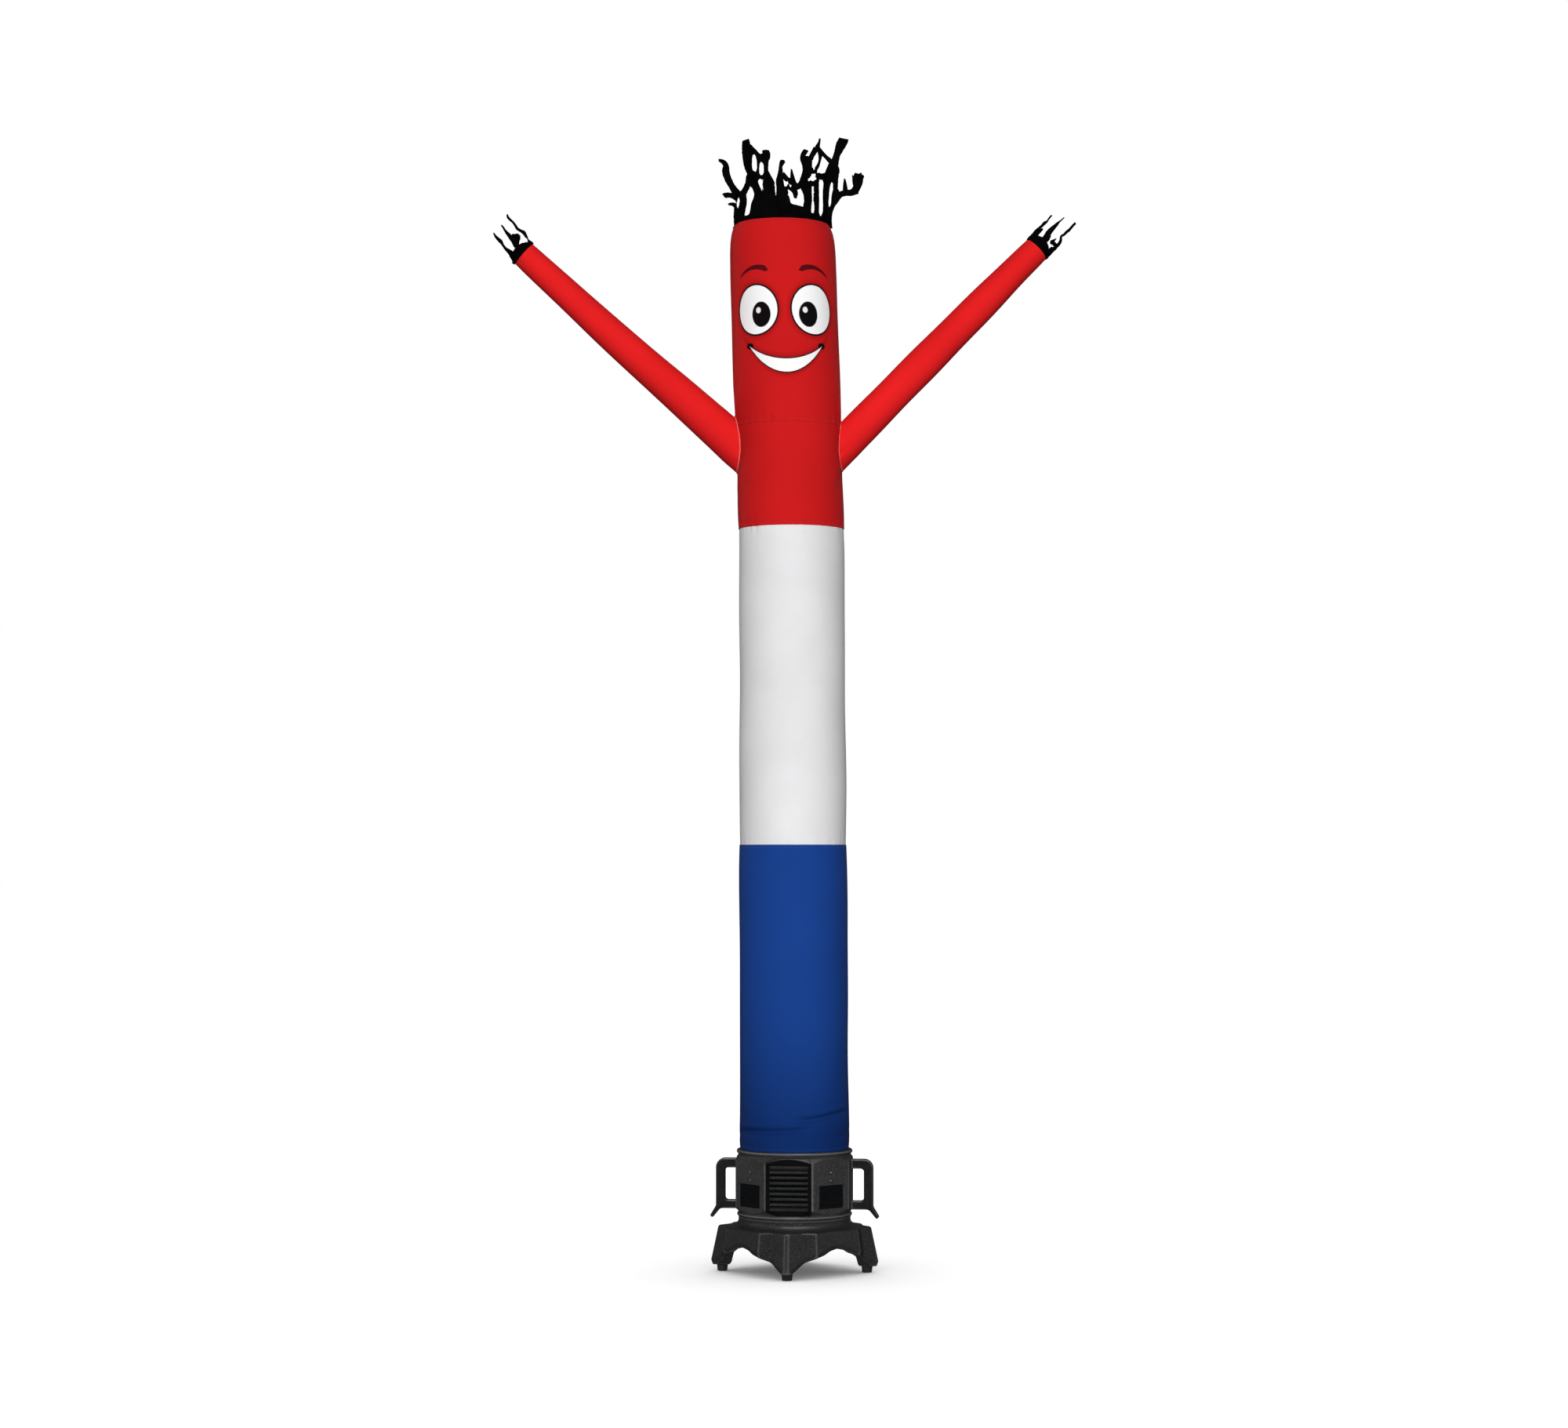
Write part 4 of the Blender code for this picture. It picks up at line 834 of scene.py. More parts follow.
def stitches(name, lines, material):
    """Rows of short threads, one small spindle each. A line is points and the directions out of the cloth."""
    length, gap, half = STITCH
    spindles = []
    for path, out in lines:
        reach = reach_along(path)
        starts = np.arange(0.0, reach[-1] - length, length + gap)

        def at(share, table=path):
            return np.stack([np.interp(starts + length * share, reach, column) for column in table.T], -1)

        normal = unit(at(0.5, out))
        side = np.cross(unit(at(1.0) - at(0.0)), normal)
        spindle = [at(share) + (side * aside + normal * outward) * half for share, aside, outward in SPINDLE]
        spindles.append(np.stack(spindle, 1))
    spindles = np.concatenate(spindles)
    faces = []
    for here, beside in ((1, 2), (2, 3), (3, 4), (4, 1)):
        faces += [(0, here, beside), (9, beside + 4, here + 4)]
        faces += [(here, beside + 4, beside), (here, here + 4, beside + 4)]
    faces = np.array(faces) + (np.arange(len(spindles)) * 10)[:, None, None]
    return object_from(name, spindles.reshape(-1, 3), faces.reshape(-1, 3), material)


def ring_line(profile, z):
    turn = round_turns(1023)
    return tube_points(profile, turn, np.full_like(turn, z)), polar(1.0, turn, 0.0)


def back_line(profile, turn, margin=0.012):
    z = np.arange(profile[0][0] + margin, profile[-1][0] - margin, 0.004)
    turn = np.full_like(z, turn)
    return tube_points(profile, turn, z, 0.0001), polar(1.0, turn, 0.0)


def clear_of_sleeves(path, out):
    """The parts of a row of stitches that no sleeve covers."""
    free = ~np.any([sleeve.covers(path) for sleeve in SLEEVES], axis=0)
    parts = np.split(np.arange(len(path)), np.flatnonzero(np.diff(free.astype(int))) + 1)
    return [(path[part], out[part]) for part in parts if free[part[0]] and len(part) > 4]


def sew():
    """The raised armhole seams and every visible row of stitches."""
    for sleeve in SLEEVES:
        sleeve.welt()
    near, far = STITCH_ROWS
    rows = {"blue": [], "white": [], "red": []}
    for name, profile, heights in (
        ("blue", BLUE, (HEM_Z + far, BLUE_WHITE_Z - near, BLUE_WHITE_Z - far)),
        ("red", RED, (WHITE_RED_Z + near, WHITE_RED_Z + far)),
        ("red", HEAD, (HEAD_TOP_Z - near, HEAD_TOP_Z - far, HEAD_LOW_Z + near, HEAD_LOW_Z + far)),
    ):
        rows[name] += [ring_line(profile, z) for z in heights]
    for name, profile in (("blue", BLUE), ("white", WHITE), ("red", RED), ("red", HEAD)):
        rows[name] += [back_line(profile, turn) for turn in BACK_STITCHES]
    rows["red"] = [part for row in rows["red"] for part in clear_of_sleeves(*row)]
    rows["sleeves"] = [line for sleeve in SLEEVES for line in sleeve.stitch_lines()]
    for name, lines in rows.items():
        stitches("stitches_" + name, lines, "thread_" + name)


# --- Ragged cloth ---
def jitter(draw, amount, count):
    """So many small random steps across the cloth."""
    return np.array([[draw.gauss(0, amount), draw.gauss(0, amount)] for _ in range(count)])


def stroke_outline(stroke, draw, wider):
    """The closed outline of one strip along its line, with a slightly uneven cut edge."""
    knots = np.array(stroke, float) + (0.0, 0.0, wider)
    reach = reach_along(knots[:, :2])
    count = max(4, int(reach[-1] / STRIP_STEP))
    at = np.linspace(0.0, reach[-1], count)
    line = np.stack([curve_through(np.stack((reach, knots[:, axis]), -1), at) for axis in (0, 1)], -1)
    half = np.interp(at, reach, knots[:, 2])[:, None] / 2
    way = unit(np.gradient(line, axis=0))
    side = np.stack((-way[:, 1], way[:, 0]), -1) * half
    fray = jitter(draw, FRAY, count)
    caps = []
    for end, sign in ((-1, 1), (0, -1)):
        slant = draw.uniform(-0.45, 0.45)
        caps.append([
            line[end] + (way[end] * half[end] * (out + slant * turned) + side[end] * aside) * sign
            for aside, out, turned in CAP
        ])
    left, right = line + side * (1 + fray[:, :1]), line - side * (1 + fray[:, 1:])
    return np.concatenate((left, caps[0], right[::-1], caps[1]))


def within(outlines, points):
    """Which points lie inside any of the closed outlines."""
    found = np.zeros(len(points), bool)
    for outline in outlines:
        inside = np.zeros(len(points), bool)
        for (x1, y1), (x2, y2) in zip(outline, np.roll(outline, -1, 0)):
            if y1 != y2:
                crosses = (points[:, 1] < y1) != (points[:, 1] < y2)
                inside ^= crosses & (points[:, 0] < x1 + (points[:, 1] - y1) * (x2 - x1) / (y2 - y1))
        found |= inside
    return found


def rounded_hole(hole, draw):
    """A hole's outline with its corners cut twice, each point pushed a little aside."""
    smooth = np.array(hole, float)
    for _ in range(2):
        after = np.roll(smooth, -1, 0)
        smooth = np.stack((smooth * 0.75 + after * 0.25, smooth * 0.25 + after * 0.75), 1).reshape(-1, 2)
    return smooth + jitter(draw, HOLE_FRAY, len(smooth))


def cut_sheet(strokes, holes, spacing, wider, seed):
    """Flat triangles of ragged cloth: the union of the strokes, less the holes, above a straight edge."""
    draw = random.Random(seed)
    outlines = [stroke_outline(stroke, draw, wider) for stroke in strokes]
    gaps = [rounded_hole(hole, draw) for hole in holes]
    everything = np.concatenate(outlines)
    (left, low), (right, high) = everything.min(0), everything.max(0)
    gaps.append(np.array(((left - 9, low - 9), (right + 9, low - 9), (right + 9, 1.0), (left - 9, 1.0))))
    xs, ys = np.meshgrid(np.arange(left, right, spacing), np.arange(1.0, high, spacing * 0.87))
    xs[::2] += spacing / 2
    lattice = np.stack((xs.ravel(), ys.ravel()), -1)
    lattice = lattice[within(outlines, lattice)]
    boundary = np.concatenate(outlines + gaps)
    lattice = lattice[[np.abs(boundary - point).sum(1).min() > 1.7 for point in lattice]]
    edges, count = [], 0
    for outline in outlines + gaps:
        numbers = np.arange(count, count + len(outline))
        edges += np.stack((numbers, np.roll(numbers, -1)), -1).tolist()
        count += len(outline)
    points = [Vector(point) for point in np.concatenate((boundary, lattice))]
    flat, _, triangles, *_ = delaunay_2d_cdt(points, edges, [], 0, 0.02, False)
    flat, triangles = np.array(flat), np.array([corners for corners in triangles if len(corners) == 3])
    middle = flat[triangles].mean(1)
    used, corners = np.unique(triangles[within(outlines, middle) & ~within(gaps, middle)], return_inverse=True)
    return flat[used] * 0.001, corners.reshape(-1, 3)


def stand_up(flat, radius, facing, lean, drift):
    """Bends flat cloth round an open end: its root follows the ring and its tips hang loose of it."""
    x, v = flat.T
    ring = radius * np.sqrt(1 - np.minimum(np.abs(x) / radius, 0.96) ** 2)
    loose = smooth_step((v - 0.10 * radius) / (0.9 * radius))
    turning = lean * np.sin(x / drift + 1.7 * np.sin(v / (3.5 * drift)) + facing)
    turning += 0.7 * lean * np.sin(v / (2.6 * drift) + 0.5 * x / drift)
    return np.stack((x, -facing * (ring * (1 - 0.10 * loose) + loose * turning), v), -1)


def band(radius, top, seed):
    """The backing strip that the rags are cut from, let into the open end."""
    turns = round_turns(160)[:-1]
    ragged = top * (1 + 0.18 * np.sin(np.radians(turns * 7) + seed) + 0.12 * np.sin(np.radians(turns * 17)))
    rows = [polar(radius - 0.0022, turns, top * share) for share in (-0.55, -0.25, 0.0)]
    rows += [polar(radius - 0.0014, turns, ragged * share) for share in (0.12, 0.4, 0.7, 1.0)]
    return np.concatenate(rows), grid_faces(len(rows), len(turns))


def fringe(name, node, place, radius, front, back, seed, top, lean, drift, spacing, wider, taller):
    """A ragged fringe: its band, and the front and back halves of the strips that stand on it."""
    points, faces = band(radius, top, seed)
    faces = faces.tolist()
    for half, facing in ((front, 1), (back, -1)):
        flat, triangles = cut_sheet(*half, spacing, wider, seed + facing)
        faces += (triangles[:, ::facing] + len(points)).tolist()
        points = np.concatenate((points, stand_up(flat * (1.0, taller), radius, facing, lean, drift)))
    points = points @ np.array(place.to_3x3()).T + np.array(place.translation)
    piece = object_from(name, points, faces, "black", node)
    modify(piece, "SOLIDIFY", thickness=RAG_CLOTH, offset=0.0)
    settle(piece, 50)
    return piece


def behind(near, radius):
    """The same shapes on the far side, raised and spread so that the near ones cover them in the photograph."""
    moved = []
    for shape in near:
        points = []
        for x, y, *width in shape:
            if y <= FAR_TIPS or not width:
                apart = 2 * radius * math.sqrt(1 - min(abs(x) / radius, 0.96) ** 2)
                points.append((x * 1.03, y + VIEW_RISE * apart, *width))
        if len(points) > 1:
            if points[-1][1] < 60 and len(points[0]) == 3:
                points.append((points[-1][0], -20, points[-1][2]))
            moved.append(points)
    return moved


def mirrored(cuts):
    """Strokes or holes with left and right changed over."""
    return [[(-x, *others) for x, *others in shape] for shape in cuts]


def build_fringes():
    radius = HAIR_RADIUS * 1000
    strips = [strip for number, strip in enumerate(HAIR_FRONT) if number not in FRONT_ONLY]
    far = [*behind(strips, radius), BACK_BAND], behind(HAIR_HOLES, radius)
    place = Matrix.Translation((tube_axis_x(HEAD_TOP_Z), 0.0, HEAD_TOP_Z))
    near = HAIR_FRONT, HAIR_HOLES
    pieces = [fringe("hair_rags", "hair_fringe", place, HAIR_RADIUS, near, far, 61, **HAIR_FORM)]
    for sleeve, radius, seed in zip(SLEEVES, HAND_RADII, (71, 81)):
        front, holes, back = map(mirrored, HANDS[sleeve.side])
        name, node, place = f"hand_{sleeve.side}_rags", f"hand_fringe_{sleeve.side}", sleeve.end_frame()
        pieces.append(fringe(name, node, place, radius, (front, holes), (back, ()), seed, **HAND_FORM))
    return pieces


# --- Blower ---
BLOWER_TURN = math.radians(-6)
APOTHEM = 0.163
GAP = 0.0003
SLOPE_RADIUS = 0.1600
SLOPE_TOP_Z = 0.3385
SLOPE_BOTTOM_Z = 0.1740
NECK = (  # the housing's section above its faces, from the inside out: distance from the axis and height
    (0.147, 0.381), (0.1498, 0.381), (0.1513, 0.3785), (0.1513, 0.353), (0.1610, 0.353), (0.1650, 0.3510),
    (0.1665, 0.3468), (0.1648, 0.3422), (0.1608, 0.3402), (0.1608, SLOPE_TOP_Z - 0.0008),
)
LIP = (
    (0.1608, SLOPE_BOTTOM_Z + 0.0008), (0.1608, 0.1722), (0.1642, 0.1704), (0.1652, 0.1670), (0.1640, 0.1636),
    (0.1600, 0.1603), (0.147, 0.1603),
)
SKIRT_TOP = 0.1310
LEG_Z = 0.0183  # the legs' lower edge, where the feet begin
COLLAR = (
    (0.1610, 0.1600), (0.1606, 0.1510), (0.1622, 0.1455), (0.1665, 0.1400), (0.1725, 0.1362), (0.1790, 0.1342),
)
LEG_OUTLINE = ((0.0, 0.2205), (0.0062, 0.2205), (0.0420, 0.1925), (0.0800, 0.1890), (0.1350, 0.1350))
SKIRT_EDGE = (  # the height of the skirt's lower edge at turns from a leg
    (0.0, LEG_Z), (3.6, LEG_Z), (8.0, 0.0310), (13.8, 0.0480), (25.0, 0.0615), (31.0, 0.0665), (37.0, 0.0765),
    (45.0, 0.0820),
)
SKIRT_SPREAD = 0.0205  # how far the skirt leans out down a leg
BASE_INSIDE = ((0.183, 0.1225), (0.150, 0.1225), (0.150, 0.1600))
HANDLE_FACE = APOTHEM + GAP
HANDLE = (  # out, up and corner radius
    (HANDLE_FACE, 0.3245, 0.0), (0.2265, 0.3245, 0.026), (0.2265, 0.1880, 0.014), (0.2440, 0.1590, 0.004),
    (0.2365, 0.1525, 0.004), (0.2140, 0.1800, 0.016), (HANDLE_FACE, 0.1800, 0.0), (HANDLE_FACE, 0.2050, 0.0),
    (0.2000, 0.2050, 0.009), (0.2000, 0.2970, 0.009), (HANDLE_FACE, 0.2970, 0.0),
)
HANDLE_WIDTH = 0.028
VENT_WIDTH = 0.108
VENT_Z = (0.190, 0.316)
VENT_RIBS = 7
RIB_HEIGHTS = ((0.0015, 0.0, 0.0005), (0.0035, 0.0012, 0.0008))  # out, inset and corner radius of a rib
PLATE_Z = 0.227
PLATE_THICK = 0.0016
PLATE = [(x * 0.043, z * 0.033, 0.003) for x, z in ((-1, -1), (1, -1), (1, 1), (-1, 1))]
SCREW_Z = (0.2925, 0.2700)
SCREW_RADIUS = 0.0042
SCREW_HEIGHT = 0.0024
DOME_RADIUS = 0.0045
CROSS = (0.0026, 0.00055, 0.0011)  # half-length, half-width and depth
FOOT_AT = 0.2085  # distance from the axis
FOOT_TOP = LEG_Z - GAP
FOOT = (
    (0.0, FOOT_TOP), (0.0148, FOOT_TOP), (0.0160, FOOT_TOP - 0.0008), (0.0157, FOOT_TOP - 0.0030),
    (0.0146, 0.0070), (0.0144, 0.0062), (0.0148, 0.0055), (0.0142, 0.0022), (0.0135, 0.0008), (0.0122, 0.0),
    (0.0, 0.0),
)
GLAND_Z = 0.215
LIE_OUT = Matrix.Rotation(math.pi / 2, 4, "X")  # turns a turned shape's top out of a face
GLAND = (
    (0.0, 0.0236), (0.0045, 0.0236), (0.0050, 0.0240), (0.0080, 0.0240), (0.0092, 0.0236), (0.0103, 0.0222),
    *((r, 0.0200 - 0.0030 * ring - down) for ring in range(5) for r, down in (
        (0.0105, 0.0), (0.0105, 0.0008), (0.0096, 0.0012), (0.0096, 0.0018), (0.0105, 0.0022))),
    (0.0108, 0.0052), (0.0155, 0.0048), (0.0164, 0.0040), (0.0165, 0.0006), (0.0160, 0.0), (0.0, 0.0),
)


def on_blower(points):
    """Turns points from the blower's own axis to its place under the dancer."""
    cos, sin = math.cos(BLOWER_TURN), math.sin(BLOWER_TURN)
    x, y, z = np.asarray(points, float).T
    return np.stack((BLOWER_X + x * cos - y * sin, x * sin + y * cos, z), -1)


def moulding(name, node, points, faces, material, sharp):
    """Shaded by its larger faces, so that flat walls stay flat beside their rounded edges."""
    piece = object_from(name, on_blower(points), faces, material, node, sharp)
    modify(piece, "WEIGHTED_NORMAL", keep_sharp=True)


def softened(loop, radius):
    """A closed section with each corner rounded by three points."""
    loop = np.array(loop)

    def towards(other):
        way = other - loop
        return loop + unit(way) * np.minimum(radius, 0.38 * np.linalg.norm(way, axis=1)[:, None])

    first, last = towards(np.roll(loop, 1, 0)), towards(np.roll(loop, -1, 0))
    return np.stack((first, loop * 0.5 + (first + last) * 0.25, last), 1).reshape(-1, 2)


def radial(name, node, section, corner, material, columns=540):
    """A ring whose wall is lofted round the axis from a section in each direction, its corners softened."""
    turns = np.linspace(0.0, 360.0, columns + 1)[:-1]
    loops = np.array([softened(section(turn), corner) for turn in turns])
    kernel = np.hanning(7)[1:-1]
    soft = sum(weight * np.roll(loops, shift, 0) for weight, shift in zip(kernel / kernel.sum(), range(-2, 3)))
    points = polar(soft[..., 0], turns[:, None], soft[..., 1])
    moulding(name, node, points.reshape(-1, 3), ring_faces(columns, points.shape[1]), material, 60)


def housing_section(turn):
    face = APOTHEM / math.cos(math.radians((turn + 22.5) % 45.0 - 22.5))
    slope = face - SLOPE_RADIUS
    return *NECK, (face, SLOPE_TOP_Z - slope), (face, SLOPE_BOTTOM_Z + slope), *LIP


def outline_reach(turn):
    """The base's top outline in one direction, from a leg's centre line."""
    direction = np.array((math.sin(math.radians(turn)), math.cos(math.radians(turn))))
    for start, end in zip(LEG_OUTLINE, LEG_OUTLINE[1:]):
        a, edge = np.array(start), np.array(end) - np.array(start)
        scale = (a[0] * edge[1] - a[1] * edge[0]) / (direction[0] * edge[1] - direction[1] * edge[0])
        if (direction * scale - a) @ edge <= edge @ edge * (1 + 1e-6):
            break
    return scale


def base_section(turn):
    turn = abs((turn + 45.0) % 90.0 - 45.0)
    top = outline_reach(turn)
    edge_z = np.interp(turn, *zip(*SKIRT_EDGE))
    legness = max(0.0, (top - APOTHEM) / (LEG_OUTLINE[0][1] - APOTHEM))
    foot = top + SKIRT_SPREAD * legness * (SKIRT_TOP - edge_z) / (SKIRT_TOP - LEG_Z)
    return (
        *COLLAR, (top - 0.0035, SKIRT_TOP), (top, 0.1275), (foot, edge_z + 0.013), (foot - 0.0046, edge_z),
        (0.187, edge_z), (0.183, edge_z + 0.006), *BASE_INSIDE,
    )


def turned_points(profile, steps):
    """Its top on the axis, a ring for each point of its profile, and its foot on the axis."""
    ring = np.radians(np.linspace(0.0, 360.0, steps + 1)[:-1])
    rings = [(r * math.cos(a), r * math.sin(a), z) for r, z in profile[1:-1] for a in ring]
    return [(0.0, 0.0, profile[0][1]), *rings, (0.0, 0.0, profile[-1][1])]


def turned_shape(name, node, profile, place, material, steps, sharp):
    points = np.array([place @ Vector(point) for point in turned_points(profile, steps)])
    rings = grid_faces(len(profile) - 2, steps) + 1
    top, foot = rings[:steps, :2], rings[-steps:, 2:]
    last = len(points) - 1
    faces = [*((0, *edge) for edge in top), *rings[:, [0, 3, 2, 1]], *((last, *edge) for edge in foot)]
    return object_from(name, on_blower(points), faces, material, node, sharp)


def on_face(turn, out, z):
    """A frame on the housing's face in that direction. Its -Y points out of the face."""
    return Matrix.Rotation(math.radians(turn), 4, "Z") @ Matrix.Translation((0.0, -HANDLE_FACE - out, z))


def rounded(corners, steps=9):
    """An outline of (x, z, radius) with its corners rounded."""
    points = []
    for index, (x, z, radius) in enumerate(corners):
        here = Vector((x, z))
        if radius == 0.0:
            points.append(here)
            continue
        before, after = (Vector(corners[beside % len(corners)][:2]) - here for beside in (index - 1, index + 1))
        half_angle = before.angle(after) / 2
        reach = radius / math.tan(half_angle)
        before.normalize()
        after.normalize()
        centre = here + (before + after).normalized() * radius / math.sin(half_angle)
        first, last = here + before * reach - centre, here + after * reach - centre
        swing = first.angle_signed(last)
        points += [centre + Matrix.Rotation(-swing * step / steps, 2) @ first for step in range(steps + 1)]
    return points


def slab(name, node, outline, width, edge, place, material, segments):
    """An outline in the XZ plane, extruded along Y, its rims rounded."""
    bm = bmesh.new()
    face = bm.faces.new([bm.verts.new((x, -width / 2, z)) for x, z in outline])
    grown = bmesh.ops.extrude_face_region(bm, geom=[face])["geom"]
    moved = [part for part in grown if isinstance(part, bmesh.types.BMVert)]
    bmesh.ops.translate(bm, verts=moved, vec=(0.0, width, 0.0))
    bmesh.ops.recalc_face_normals(bm, faces=bm.faces)
    rims = [e for e in bm.edges if abs(e.verts[0].co.y - e.verts[1].co.y) < 1e-6]
    bmesh.ops.bevel(bm, geom=rims, offset=edge, segments=segments, profile=0.5, affect="EDGES")
    bmesh.ops.triangulate(bm, faces=[f for f in bm.faces if len(f.verts) > 4])
    faces = [[v.index for v in f.verts] for f in bm.faces]
    moulding(name, node, [place @ v.co for v in bm.verts], faces, material, 32)
    bm.free()


def screw(name, turn, z, spin):
    """A domed screw head. The points in its cross are pressed in after its edges are marked."""
    steps = 64
    radii = [SCREW_RADIUS * step / 16 for step in range(1, 17)]
    dome = [(r, SCREW_HEIGHT * math.sqrt(1 - (r / DOME_RADIUS) ** 2)) for r in radii]
    profile = [(0.0, SCREW_HEIGHT), *dome, (SCREW_RADIUS, 0.0), (0.0, 0.0)]
    place = on_face(turn, 0.0, z) @ LIE_OUT @ Matrix.Rotation(math.radians(spin), 4, "Z")
    piece = turned_shape(name + "_head", name, profile, place, "steel", steps, 35)
    length, width, depth = CROSS
    pressed = []
    for x, y, z in turned_points(profile, steps):
        in_arm = z > 0.0003 and max(abs(x), abs(y)) < length
        z -= in_arm * depth * min(1.0, max(0.0, 2.0 - 2.0 * min(abs(x), abs(y)) / width))
        pressed.append(place @ Vector((x, y, z)))
    for vertex, point in zip(piece.data.vertices, on_blower(pressed)):
        vertex.co = point


def vent_outline():
    """The vent's section: a plate with level ribs."""
    low, high = VENT_Z
    plate, inset, _ = RIB_HEIGHTS[0]
    outline = [(0.0, low, 0.0), (plate, low, 0.0006)]
    pitch = (high - low - 0.020) / VENT_RIBS
    for rib in range(VENT_RIBS):
        start = low + 0.010 + pitch * (rib + 0.25)
        outline += [(out, start + inset, radius) for out, inset, radius in RIB_HEIGHTS]
        outline += [(out, start + pitch / 2 - inset, radius) for out, inset, radius in RIB_HEIGHTS[::-1]]
    return rounded(outline + [(plate, high, 0.0006), (0.0, high, 0.0)], 4)


def build_blower():
    radial("housing_moulding", "blower_housing", housing_section, 0.0012, "plastic")
    radial("base_moulding", "blower_base", base_section, 0.0016, "base")
    for side, turn in (("right", 0.0), ("left", math.pi)):
        name, place = "handle_" + side, Matrix.Rotation(turn, 4, "Z")
        slab(name + "_moulding", name, rounded(HANDLE), HANDLE_WIDTH, 0.005, place, "grip", 5)
    place = on_face(0, 0.0, 0.0) @ Matrix.Rotation(-math.pi / 2, 4, "Z")
    slab("vent_ribs", "vent_panel", vent_outline(), VENT_WIDTH, 0.0006, place, "vent", 3)
    for side, turn in (("left", -45), ("right", 45)):
        name, place = "blank_plate_" + side, on_face(turn, PLATE_THICK / 2, PLATE_Z)
        slab(name + "_gloss", name, rounded(PLATE), PLATE_THICK, 0.0005, place, "plate", 3)
        for number, z in enumerate(SCREW_Z, 1):
            screw(f"screw_{side}_{number}", turn, z, 17 * number + turn)
    for quarter, name in enumerate(("front", "right", "back", "left")):
        place = Matrix.Rotation(quarter * math.pi / 2, 4, "Z") @ Matrix.Translation((0.0, -FOOT_AT, 0.0))
        turned_shape(f"foot_{name}_rubber", "foot_" + name, FOOT, place, "rubber", 56, 50)
    place = on_face(180, 0.0, GLAND_Z) @ LIE_OUT
    turned_shape("gland_rubber", "power_gland", GLAND, place, "rubber", 64, 40)


def build_dancer():
    pieces = [panel(*row) for row in PANELS] + [sleeve.cloth() for sleeve in SLEEVES]
    cutters = [sleeve.cutter() for sleeve in SLEEVES]
    for piece in pieces[2:4]:
        for cutter in cutters:
            modify(piece, "BOOLEAN", operation="DIFFERENCE", solver="EXACT", object=cutter)
    for piece in pieces:
        settle(piece, 55)
    for cutter in cutters:
        bpy.data.objects.remove(cutter)
    pieces += build_fringes()
    sew()


# --- Round the object: floor, backdrop, light and camera ---
AMBIENT = 0.065
CAMERA_Z = 1.2
CAMERA_AIM_Z = 1.599
CAMERA_WIDE = 4.5  # how many metres the picture is wide at the dancer
SUNS = (  # name, azimuth, elevation, strength, width, and whether it lights diffuse and glossy surfaces
    ("key", 0.0, 8.0, 3.30, 12.0, True, False),
    ("side", -130.0, 14.0, 0.75, 40.0, True, False),
    ("back", 178.0, 22.0, 1.50, 40.0, True, False),
    ("fill", 146.0, 14.0, 0.50, 40.0, True, False),
    ("gloss_left", -78.0, 28.0, 0.80, 50.0, False, True),
    ("gloss_right", 64.0, 28.0, 0.72, 50.0, False, True),
    ("gloss_top", 6.0, 66.0, 4.60, 32.0, False, True),
)
FLOOR_WASH = ("floor_wash", 0.0, 90.0, 3.5, 178.0, True, True)


def sun(name, azimuth, elevation, strength, width, diffuse, glossy):
    """A wide soft light. Azimuth 0 comes from the front, positive towards +X."""
    light = bpy.data.lights.new(name, "SUN")
    light.energy, light.angle = strength, math.radians(width)
    obj = linked(name, light)
    rise = math.radians(elevation)
    source = Vector(polar(math.cos(rise), azimuth, math.sin(rise)))
    obj.rotation_euler = source.to_track_quat("Z", "Y").to_euler()
    obj.visible_diffuse, obj.visible_glossy = diffuse, glossy
    return obj


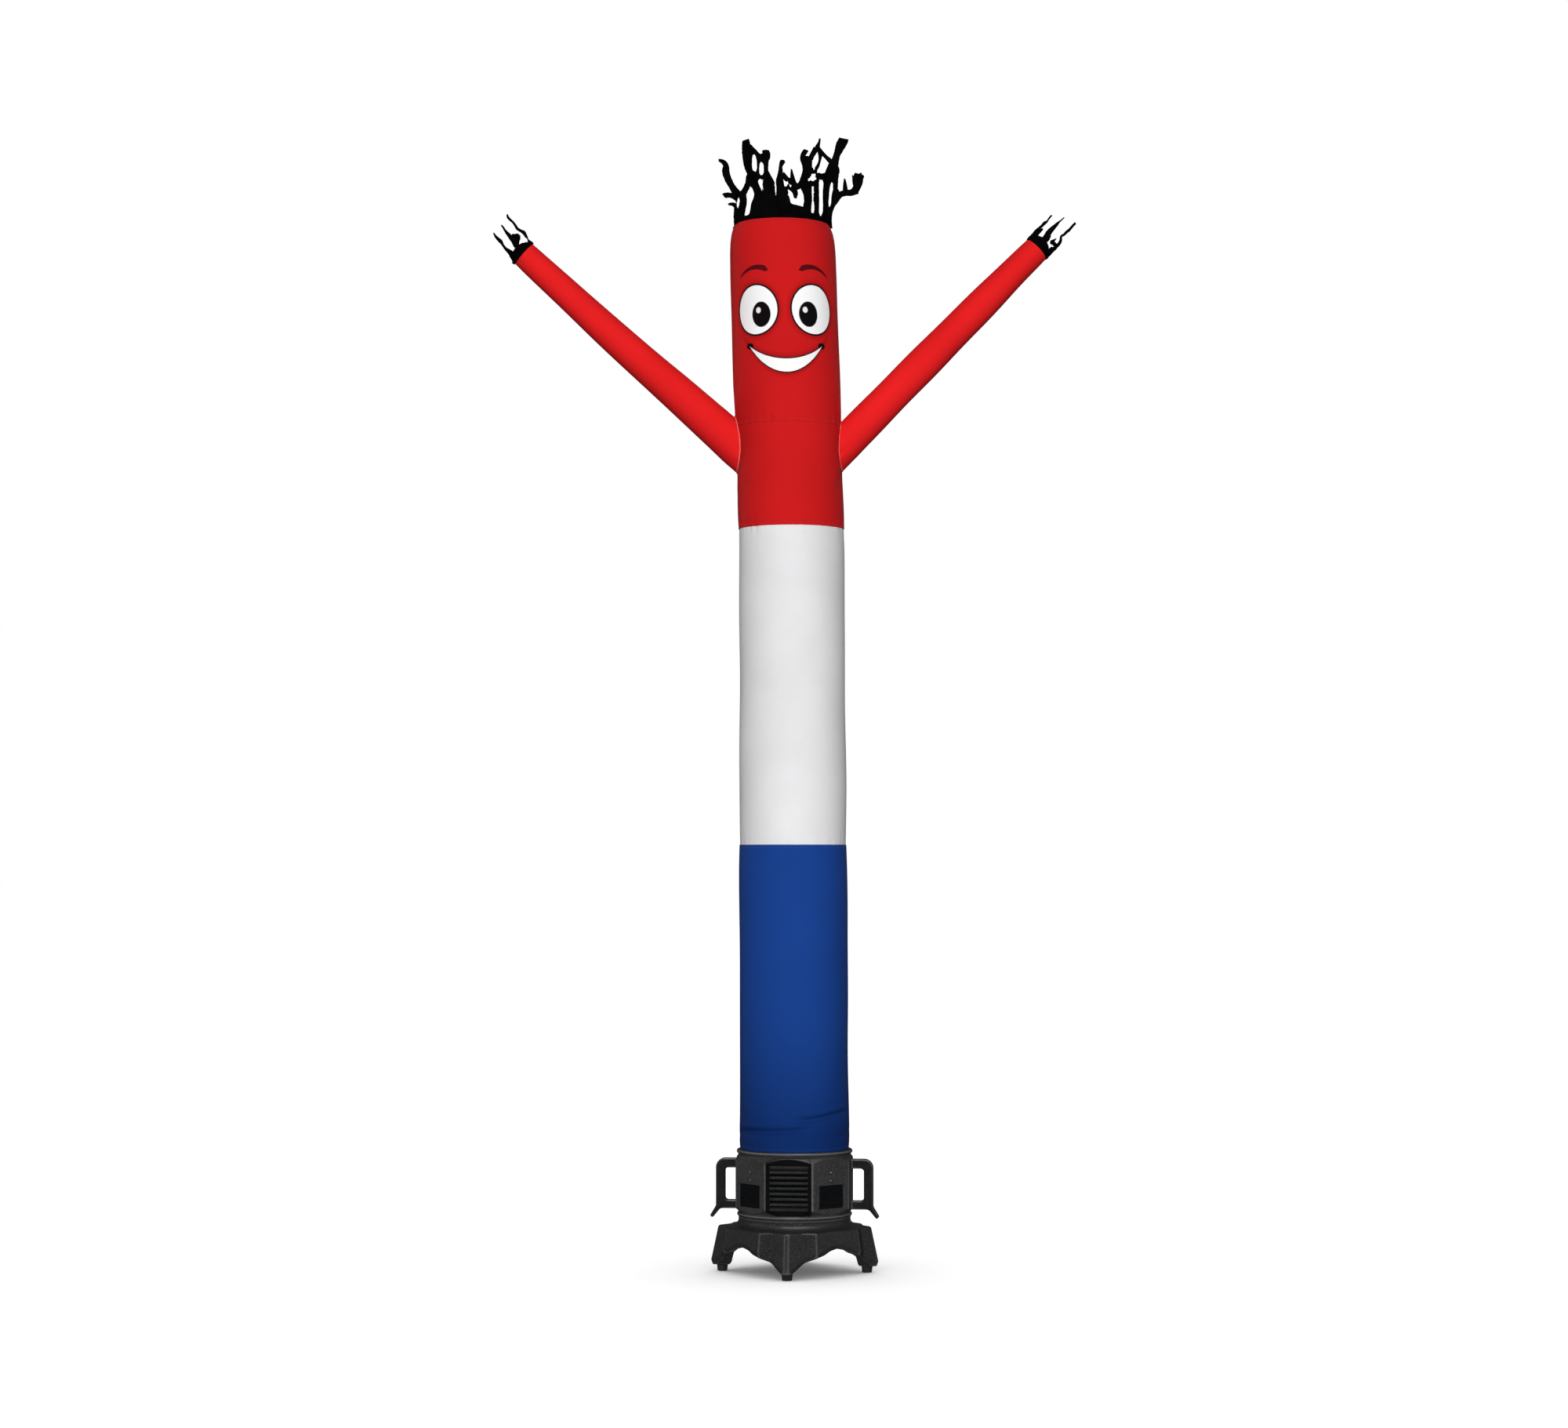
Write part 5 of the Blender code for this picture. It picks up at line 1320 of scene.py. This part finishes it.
def staged(name, colour, glow, shape, **measures):
    """A plain pale surface that glows a little, or only glows if it has no colour."""
    mesh = bpy.data.meshes.new(name)
    bm = bmesh.new()
    shape(bm, **measures)
    bm.to_mesh(mesh)
    bm.free()
    s = Shade("studio_" + name, Base_Color=colour, Roughness=0.9, Specular_IOR_Level=0.1,
              Emission_Color=(1.0, 1.0, 1.0), Emission_Strength=glow)
    mesh.materials.append(s.material)
    obj = linked(name, mesh)
    return obj


def collection(name, objects):
    group = bpy.data.collections.new(name)
    for obj in objects:
        group.objects.link(obj)
    return group


def build_studio():
    """A round floor that its own soft wash alone shades, a plain pale backdrop, the lights and the camera.

    Lights for glossy surfaces reach the hard pieces only.
    """
    scene = bpy.context.scene
    scene.view_settings.view_transform = "Standard"
    scene.world = bpy.data.worlds.new("studio")
    scene.world.use_nodes = True
    background = scene.world.node_tree.nodes["Background"]
    background.inputs["Color"].default_value = (1.0, 1.0, 1.0, 1.0)
    background.inputs["Strength"].default_value = AMBIENT

    suns = [sun(*row) for row in SUNS]
    circle, sphere = bmesh.ops.create_circle, bmesh.ops.create_uvsphere
    floor = staged("floor", (0.9, 0.9, 0.9), 0.05, circle, cap_ends=True, segments=96, radius=45.0)
    floor.visible_diffuse = floor.visible_glossy = False
    only_floor, all_else = collection("only_floor", [floor]), collection("all_else", [floor])
    all_else.collection_objects[0].light_linking.link_state = "EXCLUDE"
    hard = [finish for slot, finish in MATERIALS.values() if not slot.startswith("cloth")]
    meshes = [obj for obj in bpy.data.objects if obj.type == "MESH"]
    hard_pieces = collection("hard_pieces", [obj for obj in meshes if obj.data.materials[0] in hard])
    for light in suns:
        light.light_linking.receiver_collection = all_else if light.visible_diffuse else hard_pieces
    sun(*FLOOR_WASH).light_linking.receiver_collection = only_floor

    backdrop = staged("backdrop", (0.0, 0.0, 0.0), 1.0, sphere, u_segments=64, v_segments=32, radius=60.0)
    backdrop.data.flip_normals()
    for ray in ("diffuse", "glossy", "transmission", "shadow"):
        setattr(backdrop, "visible_" + ray, False)

    camera = bpy.data.cameras.new("camera")
    camera.sensor_width, camera.lens, camera.clip_end = 36.0, 76.0, 200.0
    camera.shift_y = (CAMERA_AIM_Z - CAMERA_Z) / CAMERA_WIDE
    scene.camera = linked("camera", camera)
    scene.camera.location = (0.0, -9.5, CAMERA_Z)
    scene.camera.rotation_euler = (math.pi / 2, 0.0, 0.0)


build_dancer()
build_blower()
build_studio()
